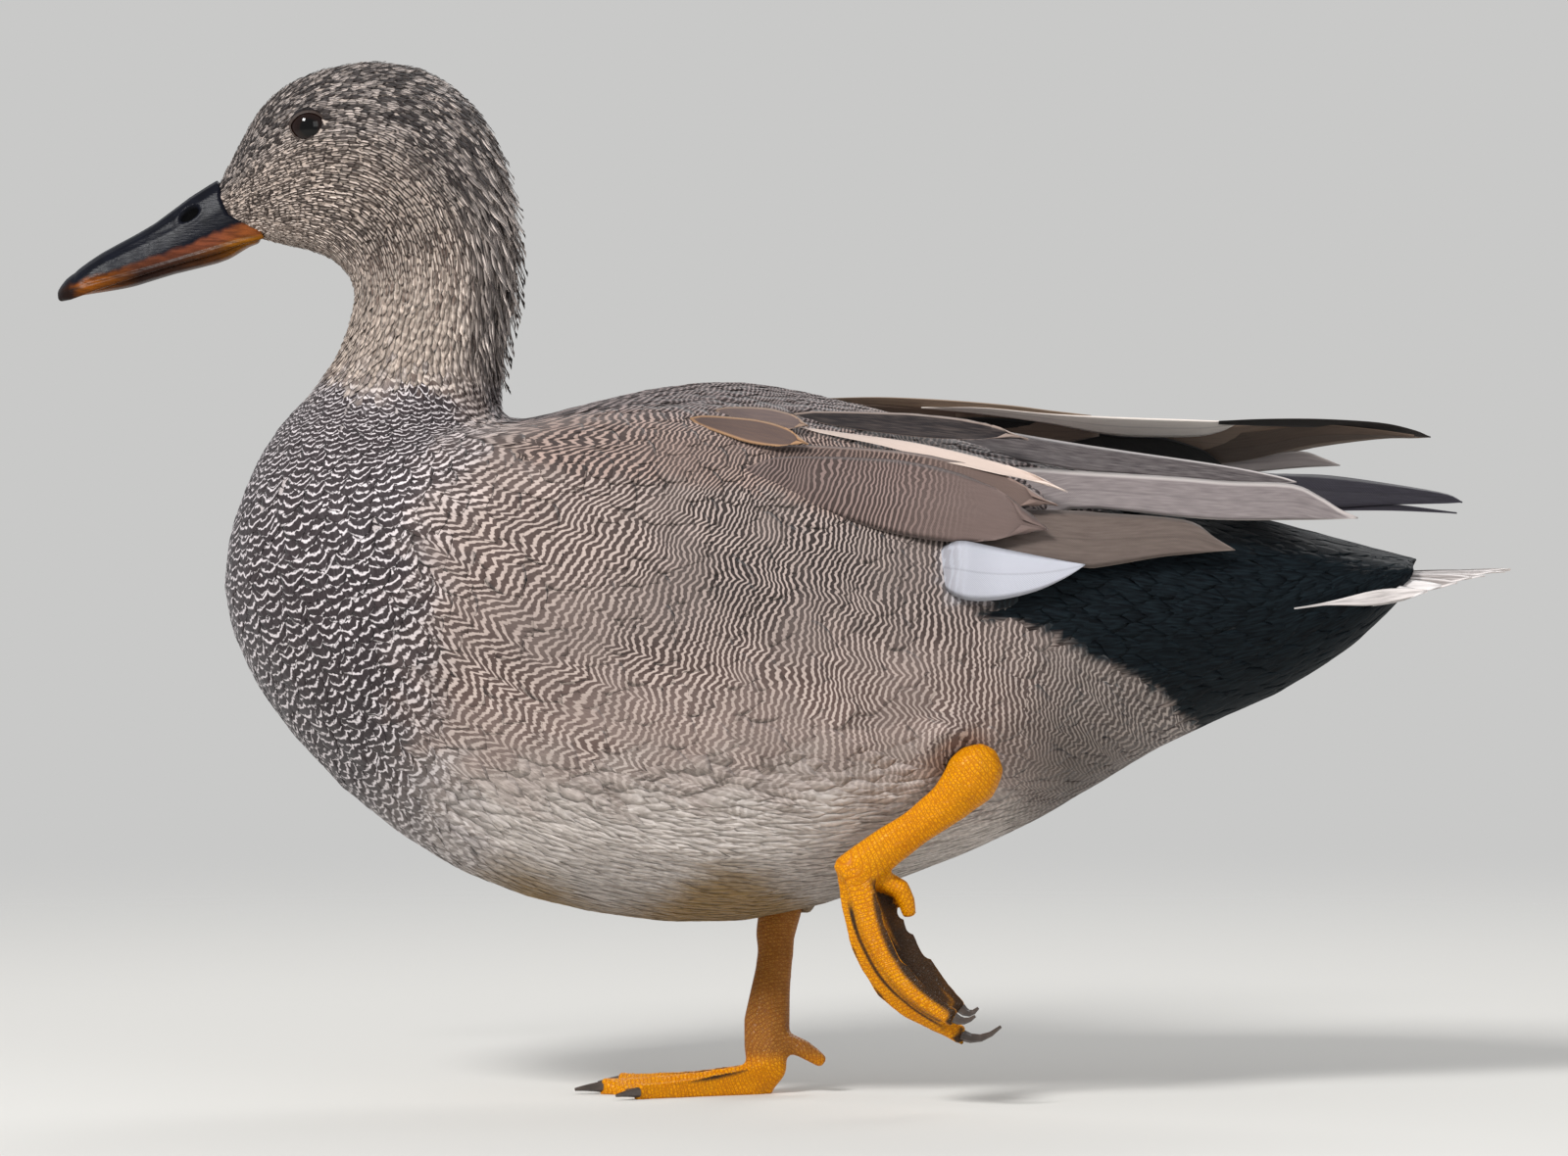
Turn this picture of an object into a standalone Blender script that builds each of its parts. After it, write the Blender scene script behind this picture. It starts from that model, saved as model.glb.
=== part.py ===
# A life-size standing drake gadwall (Mareca strepera), one solid for each named part of the body.
# Metres, +Z up. The bird faces -X and its left side faces -Y. The floor is z = 0, under the sole.
# It stands on its right foot, and its left foot is lifted and hangs half closed.
import math

import bmesh
import bpy
import numpy as np
from mathutils import Vector
from mathutils.bvhtree import BVHTree

GAP = 0.0003  # between neighbouring solids
RING = 24  # points round a section of the body

# The body's outline from the side, from the bill's root round the throat and nape to the tail.
# Each row is one section across the body: its top point (x, z), its bottom point (x, z), its half
# width, how high up it is widest (0 bottom, 1 top), and how square it is above and below that
# (1 is an ellipse, less is squarer).
BODY = [
    ("bill root", (-0.1332, 0.2148), (-0.1226, 0.2006), 0.0078, 0.50, 0.90, 0.90),
    ("lores", (-0.1300, 0.2205), (-0.1160, 0.1989), 0.0110, 0.45, 0.90, 0.90),
    ("forehead", (-0.1240, 0.2315), (-0.1105, 0.1978), 0.0142, 0.44, 0.90, 0.90),
    ("brow", (-0.1152, 0.2391), (-0.1062, 0.1957), 0.0168, 0.42, 0.90, 0.90),
    ("crown", (-0.1010, 0.2432), (-0.1030, 0.1925), 0.0188, 0.42, 0.90, 0.90),
    ("hind crown", (-0.0850, 0.2420), (-0.1014, 0.1888), 0.0193, 0.43, 0.92, 0.95),
    ("back of head", (-0.0715, 0.2325), (-0.1020, 0.1852), 0.0188, 0.44, 0.95, 1.00),
    ("nape top", (-0.0645, 0.2185), (-0.1030, 0.1815), 0.0182, 0.45, 1.00, 1.00),
    ("nape", (-0.0620, 0.2020), (-0.1042, 0.1780), 0.0182, 0.47, 1.00, 1.00),
    ("neck", (-0.0628, 0.1865), (-0.1068, 0.1725), 0.0194, 0.50, 1.00, 1.00),
    ("neck foot", (-0.0656, 0.1720), (-0.1115, 0.1662), 0.0230, 0.50, 1.00, 0.95),
    ("shoulders", (-0.0655, 0.1590), (-0.1200, 0.1570), 0.0305, 0.50, 0.95, 0.90),
    ("mantle", (-0.0485, 0.1620), (-0.1280, 0.1415), 0.0400, 0.50, 0.92, 0.88),
    ("breast", (-0.0300, 0.1665), (-0.1322, 0.1200), 0.0475, 0.50, 0.90, 0.88),
    ("low breast", (-0.0100, 0.1680), (-0.1246, 0.0968), 0.0520, 0.50, 0.86, 0.88),
    ("belly front", (0.0120, 0.1640), (-0.1040, 0.0720), 0.0540, 0.51, 0.80, 0.92),
    ("belly", (0.0320, 0.1590), (-0.0762, 0.0523), 0.0545, 0.52, 0.74, 1.00),
    ("belly middle", (0.0490, 0.1540), (-0.0450, 0.0425), 0.0530, 0.54, 0.70, 1.10),
    ("legs", (0.0660, 0.1490), (-0.0100, 0.0404), 0.0500, 0.56, 0.70, 1.15),
    ("behind the legs", (0.0820, 0.1440), (0.0260, 0.0500), 0.0450, 0.58, 0.74, 1.20),
    ("vent", (0.0980, 0.1395), (0.0590, 0.0642), 0.0385, 0.60, 0.80, 1.10),
    ("stern", (0.1150, 0.1355), (0.0890, 0.0822), 0.0310, 0.62, 0.88, 1.00),
    ("rump", (0.1310, 0.1312), (0.1150, 0.0938), 0.0240, 0.64, 0.95, 1.00),
    ("tail root", (0.1420, 0.1282), (0.1340, 0.1060), 0.0190, 0.68, 1.00, 1.00),
    ("end of the tail coverts", (0.1490, 0.1265), (0.1460, 0.1180), 0.0145, 0.75, 1.00, 1.00),
]
STATIONS_PER_ROW = 2
HEAD_ENDS_AT = "nape"
NECK_ENDS_AT = "neck foot"
TRUNK_ENDS_AT = "stern"

# The bill in profile, root to tip. Each row: its top (x, z), its bottom (x, z) and its half width.
BILL_UPPER = [
    ((-0.1328, 0.2142), (-0.1236, 0.2018), 0.0072),
    ((-0.1395, 0.2100), (-0.1325, 0.1982), 0.0073),
    ((-0.1478, 0.2038), (-0.1430, 0.1953), 0.0070),
    ((-0.1560, 0.1992), (-0.1528, 0.1922), 0.0073),
    ((-0.1634, 0.1951), (-0.1612, 0.1895), 0.0078),
    ((-0.1684, 0.1917), (-0.1672, 0.1873), 0.0066),
    ((-0.1704, 0.1888), (-0.1700, 0.1868), 0.0034),
]
BILL_LOWER = [
    ((-0.1238, 0.2013), (-0.1240, 0.1992), 0.0060),
    ((-0.1327, 0.1977), (-0.1330, 0.1957), 0.0062),
    ((-0.1432, 0.1948), (-0.1430, 0.1932), 0.0060),
    ((-0.1530, 0.1917), (-0.1527, 0.1902), 0.0063),
    ((-0.1612, 0.1890), (-0.1610, 0.1877), 0.0064),
    ((-0.1655, 0.1874), (-0.1653, 0.1866), 0.0044),
]

EYE_CENTRE = (-0.1120, 0.2288)  # x, z
EYE_RADIUS = 0.0047
EYE_PROUD = 0.0018  # how far the eyeball's front stands out of the head

# A folded wing against the body, seen from the side: its upper and lower edges, shoulder to rear.
WING_UPPER = [(-0.054, 0.1520), (-0.030, 0.1600), (0.005, 0.1600), (0.036, 0.1548), (0.068, 0.1455)]
WING_LOWER = [(-0.054, 0.1455), (-0.030, 0.1440), (0.005, 0.1400), (0.036, 0.1335), (0.068, 0.1265)]
WING_DEPTH = 0.0050
WING_PROUD = 0.0012

# The long feathers behind the left wing: name, root (x, z) on the body's side, tip (x, y, z), half
# width, thickness, how far the blade tilts from upright (degrees) at its root and tip, and how
# much higher the tip is on the right wing, which is held a little higher than the left.
FLIGHT_FEATHERS = [
    ("primaries", (0.0700, 0.1425), (0.1585, -0.0090, 0.1405), 0.0048, 0.0016, 50, 46, 0.0140),
    ("tertial_upper", (0.0600, 0.1480), (0.1250, -0.0130, 0.1475), 0.0075, 0.0012, 55, 50, 0.0088),
    ("tertial_middle", (0.0600, 0.1425), (0.1336, -0.0190, 0.1385), 0.0082, 0.0012, 40, 34, 0.0088),
    ("tertial_lower", (0.0540, 0.1340), (0.1050, -0.0280, 0.1308), 0.0074, 0.0012, 26, 24, 0.0070),
    ("speculum", (0.0380, 0.1255), (0.0700, -0.0430, 0.1250), 0.0062, 0.0014, 8, 12, 0.0020),
]
FEATHER_OUT = 0.0012  # how far a root stands off the body's side
ROOT_LIFT = 0.45  # how much of its tip's lift a right feather's root has

TAIL_ROOT = (0.1300, 0.1245)
TAIL_TIP = (0.1707, 0.1233)
TAIL_HALF_WIDTHS = (0.0130, 0.0185)  # at the root and before the tip
TAIL_ARCH = 0.0055  # how far the outer feathers hang below the middle ones
TAIL_THICKNESS = (0.0036, 0.0010)

# Each leg from its heel joint to the foot: x, y, z and the radius seen from the side.
LEG_FLAT = 0.70  # a leg's width across, of its width seen from the side
RIGHT_LEG = [
    (0.0030, 0.0185, 0.0600, 0.0062),
    (-0.0019, 0.0140, 0.0400, 0.0048),
    (-0.0022, 0.0120, 0.0330, 0.0041),
    (-0.0031, 0.0095, 0.0260, 0.0043),
    (-0.0043, 0.0070, 0.0170, 0.0053),
    (-0.0044, 0.0055, 0.0080, 0.0048),
    (-0.0040, 0.0055, 0.0040, 0.0036),
]
LEFT_LEG = [
    (0.0434, -0.0430, 0.0840, 0.0024),
    (0.0438, -0.0430, 0.0822, 0.0050),
    (0.0438, -0.0430, 0.0790, 0.0062),
    (0.0415, -0.0428, 0.0747, 0.0059),
    (0.0345, -0.0420, 0.0686, 0.0048),
    (0.0262, -0.0405, 0.0628, 0.0045),
    (0.0200, -0.0392, 0.0580, 0.0048),
    (0.0160, -0.0385, 0.0545, 0.0054),
    (0.0148, -0.0383, 0.0532, 0.0046),
]
# The feathered shank above each leg: x, y, z, radius.
RIGHT_THIGH = [
    (0.0180, 0.0260, 0.0820, 0.0130),
    (0.0075, 0.0205, 0.0620, 0.0105),
    (0.0, 0.0155, 0.0425, 0.0066),
]
LEFT_THIGH = [
    (0.0260, -0.0280, 0.0940, 0.0150),
    (0.0350, -0.0375, 0.0885, 0.0112),
    (0.0395, -0.0410, 0.0835, 0.0084),
]

# The front toes, from the foot's root to the claw: inner, middle and outer.
TOE_NAMES = ("inner", "middle", "outer")
RIGHT_TOES = [
    [(-0.0003, 0.0040, 0), (-0.0140, -0.0020, 0), (-0.0255, -0.0080, 0), (-0.0350, -0.0130, 0)],
    [(0.0002, 0.0055, 0), (-0.0165, 0.0050, 0), (-0.0310, 0.0042, 0), (-0.0435, 0.0034, 0)],
    [(-0.0003, 0.0070, 0), (-0.0155, 0.0125, 0), (-0.0290, 0.0175, 0), (-0.0395, 0.0215, 0)],
]
LEFT_TOES = [
    [
        (0.0188, -0.0352, 0.0552),
        (0.0252, -0.0332, 0.0432),
        (0.0325, -0.0323, 0.0330),
        (0.0415, -0.0320, 0.0222),
    ],
    [
        (0.0150, -0.0385, 0.0552),
        (0.0180, -0.0378, 0.0375),
        (0.0265, -0.0372, 0.0245),
        (0.0423, -0.0370, 0.0163),
    ],
    [
        (0.0172, -0.0415, 0.0550),
        (0.0226, -0.0426, 0.0382),
        (0.0310, -0.0430, 0.0275),
        (0.0399, -0.0430, 0.0210),
    ],
]
# A toe's depth from sole to top and its half width, at even steps from its root to its claw.
STANDING_TOE = [
    (0.0084, 0.0034),
    (0.0062, 0.0027),
    (0.0046, 0.0023),
    (0.0038, 0.0020),
    (0.0033, 0.0018),
]
LIFTED_TOE = [
    (0.0062, 0.0030),
    (0.0054, 0.0026),
    (0.0048, 0.0023),
    (0.0042, 0.0021),
    (0.0034, 0.0018),
]
WEB_THICKNESS = 0.0011
WEB_BAY = 0.14  # how far the web's edge curves in between two toes, of the toes' length
TOE_ROWS = 8
WEB_COLUMNS = 4  # between two toes
# The hind toe, from the foot: x, y, z, radius.
RIGHT_HIND = [
    (-0.0015, 0.0057, 0.0128, 0.0020),
    (0.0044, 0.0060, 0.0104, 0.0020),
    (0.0090, 0.0065, 0.0072, 0.0013),
]
LEFT_HIND = [
    (0.0190, -0.0375, 0.0545, 0.0022),
    (0.0268, -0.0370, 0.0510, 0.0022),
    (0.0290, -0.0368, 0.0448, 0.0014),
]

# Claws: length, base radius, and how far the point rises or drops.
RIGHT_CLAWS = {
    "inner": (0.0060, 0.0013, -0.0006),
    "middle": (0.0070, 0.0014, -0.0006),
    "outer": (0.0060, 0.0013, -0.0006),
}
LEFT_CLAWS = {
    "inner": (0.0065, 0.0013, 0.0050),
    "middle": (0.0105, 0.0014, 0.0068),
    "outer": (0.0062, 0.0013, 0.0040),
}

SKIN_TONES = {  # linear red, green, blue; roughness
    "head": ((0.22, 0.17, 0.13), 0.8),
    "neck": ((0.30, 0.24, 0.18), 0.8),
    "trunk": ((0.17, 0.14, 0.12), 0.8),
    "rump": ((0.012, 0.013, 0.015), 0.6),
    "wing": ((0.20, 0.16, 0.14), 0.75),
    "flight": ((0.13, 0.11, 0.11), 0.6),
    "white": ((0.60, 0.60, 0.63), 0.7),
    "tail": ((0.34, 0.30, 0.28), 0.65),
    "bill": ((0.020, 0.022, 0.036), 0.4),
    "bill edge": ((0.40, 0.13, 0.03), 0.4),
    "eye": ((0.006, 0.004, 0.004), 0.08),
    "leg": ((0.78, 0.32, 0.02), 0.45),
    "claw": ((0.02, 0.015, 0.012), 0.35),
}


def clear_scene():
    for thing in list(bpy.data.objects):
        bpy.data.objects.remove(thing, do_unlink=True)


def material(tone):
    made = bpy.data.materials.get(tone)
    if made:
        return made
    colour, roughness = SKIN_TONES[tone]
    made = bpy.data.materials.new(tone)
    made.use_nodes = True
    surface = made.node_tree.nodes["Principled BSDF"]
    surface.inputs["Base Color"].default_value = (*colour, 1.0)
    surface.inputs["Roughness"].default_value = roughness
    surface.inputs["Metallic"].default_value = 0.0
    made.diffuse_color = (*colour, 1.0)
    return made


def add_solid(name, points, faces, tone):
    mesh = bpy.data.meshes.new(name)
    mesh.from_pydata([tuple(map(float, p)) for p in points], [], faces)
    shape = bmesh.new()
    shape.from_mesh(mesh)
    bmesh.ops.triangulate(shape, faces=shape.faces)
    bmesh.ops.recalc_face_normals(shape, faces=shape.faces)
    shape.to_mesh(mesh)
    shape.free()
    mesh.shade_smooth()
    mesh.set_sharp_from_angle(angle=math.radians(40))
    mesh.materials.append(material(tone))
    solid = bpy.data.objects.new(name, mesh)
    bpy.context.scene.collection.objects.link(solid)
    return solid


# A smooth curve through the rows of a table, read at any place from 0 to its last row.
def through(rows, at):
    rows = np.asarray(rows, float)
    last = len(rows) - 1
    at = np.clip(np.asarray(at, float), 0, last)
    low = np.minimum(at.astype(int), last - 1)
    part = (at - low)[..., None]
    before = np.where((low > 0)[..., None], rows[np.maximum(low - 1, 0)], 2 * rows[low] - rows[low + 1])
    inside = (low < last - 1)[..., None]
    after = np.where(inside, rows[np.minimum(low + 2, last)], 2 * rows[low + 1] - rows[low])
    start, end = rows[low], rows[low + 1]
    lean_in, lean_out = (end - before) / 2, (after - start) / 2
    return (
        (2 * part**3 - 3 * part**2 + 1) * start
        + (part**3 - 2 * part**2 + part) * lean_in
        + (3 * part**2 - 2 * part**3) * end
        + (part**3 - part**2) * lean_out
    )


# A closed solid through rings of points, one after another, with a flat face on each end.
def loft(name, rings, tone):
    rings = np.asarray(rings, float)
    count, around = rings.shape[:2]
    faces = [tuple(range(around)), tuple(range((count - 1) * around, count * around))]
    for i in range(count - 1):
        for j in range(around):
            k = (j + 1) % around
            faces.append((i * around + j, i * around + k, (i + 1) * around + k, (i + 1) * around + j))
    return add_solid(name, rings.reshape(-1, 3), faces, tone)


# A round limb along a curve through rows of x, y, z and radius.
def limb(name, rows, tone, steps=9, around=12, flat=1.0):
    path = through(rows, np.linspace(0, len(rows) - 1, steps))
    tangents = np.gradient(path[:, :3], axis=0)
    rings = []
    for (x, y, z, radius), along in zip(path, tangents):
        along = along / np.linalg.norm(along)
        side = np.cross(along, (0, 1, 0))
        side = side / np.linalg.norm(side)
        out = np.cross(side, along)
        turn = np.linspace(0, 2 * math.pi, around, endpoint=False)[:, None]
        rings.append(np.array((x, y, z)) + radius * (np.cos(turn) * side + flat * np.sin(turn) * out))
    return loft(name, rings, tone)


# A copy of a solid, grown by the gap, which cuts its own room out of a neighbour.
def make_room(neighbour, solid, grow=GAP):
    cutter = solid.copy()
    cutter.data = solid.data.copy()
    cutter.name = f"room_for_{solid.name}"
    cutter.modifiers.clear()
    normals = [vertex.normal.copy() for vertex in cutter.data.vertices]
    for vertex, normal in zip(cutter.data.vertices, normals):
        vertex.co += normal * grow
    bpy.context.scene.collection.objects.link(cutter)
    cut(neighbour, cutter)


def cut(solid, cutter):
    cutter.hide_render = True
    cutter.display_type = "WIRE"
    cutter.hide_set(True)
    boolean = solid.modifiers.new(f"cut by {cutter.name}", "BOOLEAN")
    boolean.operation = "DIFFERENCE"
    boolean.solver = "EXACT"
    boolean.object = cutter


def row_of(label):
    return [row[0] for row in BODY].index(label)


# One section across the body, at a place along the rows of BODY.
def body_ring(at, shift=0.0):
    flat = [(*top, *bottom, *sizes) for _, top, bottom, *sizes in BODY]
    top_x, top_z, bottom_x, bottom_z, half, widest, above, below = through(flat, np.array([at]))[0]
    top, bottom = np.array((top_x, 0, top_z)), np.array((bottom_x, 0, bottom_z))
    turn = np.linspace(0, 2 * math.pi, RING, endpoint=False)
    up, out = np.cos(turn), np.sin(turn)
    height = np.where(up > 0, widest + (1 - widest) * up, widest + widest * up)
    square = np.where(up > 0, above, below)
    width = half * np.sign(out) * np.abs(out) ** square
    across = (top - bottom) / np.linalg.norm(top - bottom)
    forward = np.array((-across[2], 0, across[0]))
    ring = bottom + height[:, None] * (top - bottom) + shift * forward
    ring[:, 1] += width
    return ring


def body_length(name, first, last, tone):
    count = (last - first) * STATIONS_PER_ROW + 1
    places = np.linspace(first, last, count)
    rings = [body_ring(at) for at in places]
    if first > 0:
        towards_next = np.sign(np.dot((rings[1] - rings[0]).mean(axis=0), forward_of(first)))
        rings[0] = body_ring(first, GAP * towards_next)
    return loft(name, rings, tone)


def forward_of(at):
    return (body_ring(at, 1.0) - body_ring(at)).mean(axis=0)


def make_body():
    head_end, neck_end, trunk_end = map(row_of, (HEAD_ENDS_AT, NECK_ENDS_AT, TRUNK_ENDS_AT))
    return {
        "head": body_length("head", 0, head_end, "head"),
        "neck": body_length("neck", head_end, neck_end, "neck"),
        "trunk": body_length("trunk", neck_end, trunk_end, "trunk"),
        "rump": body_length("rump", trunk_end, len(BODY) - 1, "rump"),
    }


# Half of the bill: an arch over a flat underside, or a shallow tray under it.
def make_mandible(name, rows, tone, arched):
    flat = [(*top, *bottom, half) for top, bottom, half in rows]
    places = np.linspace(0, len(rows) - 1, 2 * len(rows) - 1)
    rings = []
    for top_x, top_z, bottom_x, bottom_z, half in through(flat, places):
        top, bottom = np.array((top_x, 0, top_z)), np.array((bottom_x, 0, bottom_z))
        turn = np.linspace(0, math.pi, 11)
        up = np.sin(turn) ** 0.8 if arched else 1 - np.sin(turn) ** 0.8
        ring = bottom + up[:, None] * (top - bottom)
        ring[:, 1] = -half * np.sign(np.cos(turn)) * np.abs(np.cos(turn)) ** 0.8
        rings.append(ring)
    return loft(name, rings, tone)


def make_eye(side, head):
    x, z = EYE_CENTRE
    tree = tree_of(head)
    face = tree.ray_cast(Vector((x, side * 0.1, z)), Vector((0, -side, 0)))[0]
    centre = Vector((x, face.y - side * (EYE_RADIUS - EYE_PROUD), z))
    ball = bmesh.new()
    bmesh.ops.create_uvsphere(ball, u_segments=12, v_segments=7, radius=EYE_RADIUS)
    points = [vertex.co + centre for vertex in ball.verts]
    faces = [tuple(vertex.index for vertex in face.verts) for face in ball.faces]
    ball.free()
    return add_solid(f"eye_{side_name(side)}", points, faces, "eye")


def side_name(side):
    return "right" if side > 0 else "left"


def tree_of(solid):
    mesh = solid.data
    return BVHTree.FromPolygons([v.co for v in mesh.vertices], [tuple(p.vertices) for p in mesh.polygons])


# The folded wing's front part: a shell that lies in the body's side and stands a little proud of it.
def make_wing(side, trunk):
    tree = tree_of(trunk)
    long_steps, wide_steps = 10, 5
    upper = through(WING_UPPER, np.linspace(0, len(WING_UPPER) - 1, long_steps))
    lower = through(WING_LOWER, np.linspace(0, len(WING_LOWER) - 1, long_steps))
    outer, inner = [], []
    for i in range(long_steps):
        for j in range(wide_steps):
            down = j / (wide_steps - 1)
            x, z = upper[i] + down * (lower[i] - upper[i])
            hit, normal = tree.ray_cast(Vector((x, side * 0.2, z)), Vector((0, -side, 0)))[:2]
            crown = math.sin(math.pi * down) * math.sin(math.pi * (0.1 + 0.8 * i / (long_steps - 1)))
            outer.append(hit + normal * WING_PROUD * crown)
            inner.append(hit - normal * WING_DEPTH)
    return add_plate(f"wing_{side_name(side)}", outer, inner, long_steps, wide_steps, "wing")


# A closed plate between two grids of points of the same size.
def add_plate(name, front, back, rows, columns, tone):
    count = rows * columns
    faces = []
    for i in range(rows - 1):
        for j in range(columns - 1):
            a, b = i * columns + j, (i + 1) * columns + j
            c, d = b + 1, a + 1
            faces += [(a, b, c, d), (d + count, c + count, b + count, a + count)]
    rim = [i * columns for i in range(rows)] + [(rows - 1) * columns + j for j in range(1, columns)]
    rim += [i * columns + columns - 1 for i in range(rows - 2, -1, -1)] + list(range(columns - 2, 0, -1))
    for a, b in zip(rim, rim[1:] + rim[:1]):
        faces.append((a, a + count, b + count, b))
    return add_solid(name, list(front) + list(back), faces, tone)


# A long feather or a bundle of them: a thin curved blade from its root to a rounded tip.
def make_blade(side, tree, label, root, tip, half_width, thickness, root_tilt, tip_tilt, lift):
    rows, columns = 8, 3
    hit = tree.ray_cast(Vector((root[0], side * 0.2, root[1])), Vector((0, -side, 0)))[0]
    root = np.array((root[0], hit.y + side * FEATHER_OUT, root[1]))
    tip = np.array((tip[0], -side * tip[1], tip[2]))
    if side > 0:
        root[2] += lift * ROOT_LIFT
        tip[2] += lift
    front, back = [], []
    for i in range(rows):
        along = i / (rows - 1)
        rounded = math.sqrt(max(0.0, 1 - max(0.0, (along - 0.8) / 0.2) ** 2))
        half = half_width * (0.75 + 0.25 * math.sin(math.pi * min(1, along * 1.3) / 2)) * max(0.2, rounded)
        tilt = math.radians(root_tilt + (tip_tilt - root_tilt) * along)
        across = np.array((0, -side * math.sin(tilt), math.cos(tilt)))
        outward = np.array((0, side * math.cos(tilt), math.sin(tilt)))
        middle = root + (tip - root) * along
        thick = thickness * (1 - 0.35 * along)
        for j in range(columns):
            out = 2 * j / (columns - 1) - 1
            camber = -0.18 * half * out * out
            point = middle + across * half * out + outward * camber
            front.append(point + outward * thick / 2)
            back.append(point - outward * thick / 2)
    tone = "white" if label == "speculum" else "flight"
    return add_plate(f"{label}_{side_name(side)}", front, back, rows, columns, tone)


def make_tail():
    rows, columns = 7, 11
    front, back = [], []
    for i in range(rows):
        along = i / (rows - 1)
        narrow, wide = TAIL_HALF_WIDTHS
        half = narrow + (wide - narrow) * math.sin(math.pi * along / 2)
        for j in range(columns):
            out = 2 * j / (columns - 1) - 1
            reach = 1 - 0.30 * along * abs(out) ** 1.5
            x = TAIL_ROOT[0] + (TAIL_TIP[0] - TAIL_ROOT[0]) * along * reach
            z = TAIL_ROOT[1] + (TAIL_TIP[1] - TAIL_ROOT[1]) * along - TAIL_ARCH * out * out
            thick = TAIL_THICKNESS[0] + (TAIL_THICKNESS[1] - TAIL_THICKNESS[0]) * along
            front.append((x, half * out, z + thick / 2))
            back.append((x, half * out, z - thick / 2))
    return add_plate("tail", front, back, rows, columns, "tail")


# Three toes and the webs between them, as one solid. A standing foot has its flat sole at z = 0.
def make_foot(side, toes, standing):
    columns = 2 * WEB_COLUMNS + 1
    paths = [through(toe, np.linspace(0, len(toe) - 1, TOE_ROWS)) for toe in toes]
    profile = STANDING_TOE if standing else LIFTED_TOE
    front, back = [], []
    for i in range(TOE_ROWS):
        along = i / (TOE_ROWS - 1)
        toe_thick, toe_half = through(profile, along * (len(profile) - 1))
        for j in range(columns):
            low = min(j // WEB_COLUMNS, 1)
            part = j / WEB_COLUMNS - low
            place = np.array([i * (1 - WEB_BAY * math.sin(math.pi * part) * along)])
            here, there = (through(path, place)[0] for path in paths[low : low + 2])
            point = here + (there - here) * part
            from_toe = min(part, 1 - part) * np.linalg.norm(there - here)
            thick = WEB_THICKNESS + (toe_thick - WEB_THICKNESS) * math.exp(-((from_toe / toe_half) ** 2))
            if standing:
                front.append(point + (0, 0, thick))
                back.append(point)
            else:
                ahead, behind = through(paths[low], np.clip(place + ((0.5,), (-0.5,)), 0, TOE_ROWS - 1))[:, 0]
                outward = np.cross((0, 1, 0), ahead - behind)
                outward = outward / np.linalg.norm(outward)
                front.append(point + outward * thick / 2)
                back.append(point - outward * thick / 2)
    return add_plate(f"foot_{side_name(side)}", front, back, TOE_ROWS, columns, "leg")


# A claw: a curved spike from the end of a toe.
def make_claw(name, toe, length, radius, rise, height):
    end, before = np.array(toe[-1], float), np.array(toe[-2], float)
    heading = (end - before) / np.linalg.norm(end - before)
    base = end - heading * length * 0.15 + (0, 0, height)
    rows = []
    for along in np.linspace(0, 1, 5):
        point = base + heading * length * along + np.array((0, 0, rise)) * along**2
        rows.append((*point, radius * (1 - 0.75 * along)))
    return limb(name, rows, "claw", steps=5, around=6)


def make_leg(side, body):
    name = side_name(side)
    standing = side > 0
    leg, thigh, toes, hind, claws = (
        (RIGHT_LEG, RIGHT_THIGH, RIGHT_TOES, RIGHT_HIND, RIGHT_CLAWS)
        if standing
        else (LEFT_LEG, LEFT_THIGH, LEFT_TOES, LEFT_HIND, LEFT_CLAWS)
    )
    shank = limb(f"thigh_{name}", thigh, "trunk", steps=5, around=12)
    tarsus = limb(f"tarsus_{name}", leg, "leg", steps=10, around=9, flat=LEG_FLAT)
    foot = make_foot(side, toes, standing)
    hind_toe = limb(f"hind_toe_{name}", hind, "leg", steps=5, around=8)
    for solid, other in (
        (body["trunk"], shank),
        (body["trunk"], tarsus),
        (shank, tarsus),
        (tarsus, foot),
        (tarsus, hind_toe),
        (foot, hind_toe),
    ):
        make_room(solid, other)
    for toe_name, toe in zip(TOE_NAMES, toes):
        height = STANDING_TOE[-1][0] / 2 if standing else 0
        claw = make_claw(f"claw_{toe_name}_{name}", toe, *claws[toe_name], height)
        make_room(foot, claw)


def main():
    clear_scene()
    body = make_body()
    upper = make_mandible("bill_upper", BILL_UPPER, "bill", arched=True)
    lower = make_mandible("bill_lower", BILL_LOWER, "bill edge", arched=False)
    make_room(body["head"], upper)
    make_room(body["head"], lower)
    for side in (-1, 1):
        eye = make_eye(side, body["head"])
        make_room(body["head"], eye)
        wing = make_wing(side, body["trunk"])
        make_room(body["trunk"], wing)
        tree = tree_of(body["trunk"])
        blades = [make_blade(side, tree, *feather) for feather in FLIGHT_FEATHERS]
        for i, blade in enumerate(blades):
            for solid in (body["trunk"], body["rump"], wing):
                make_room(solid, blade)
            for under in blades[:i]:
                make_room(under, blade)
        make_leg(side, body)
    tail = make_tail()
    make_room(body["rump"], tail)


main()
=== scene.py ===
import math
from functools import partial

import bpy
import numpy as np
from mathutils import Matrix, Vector
from mathutils.bvhtree import BVHTree


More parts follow.
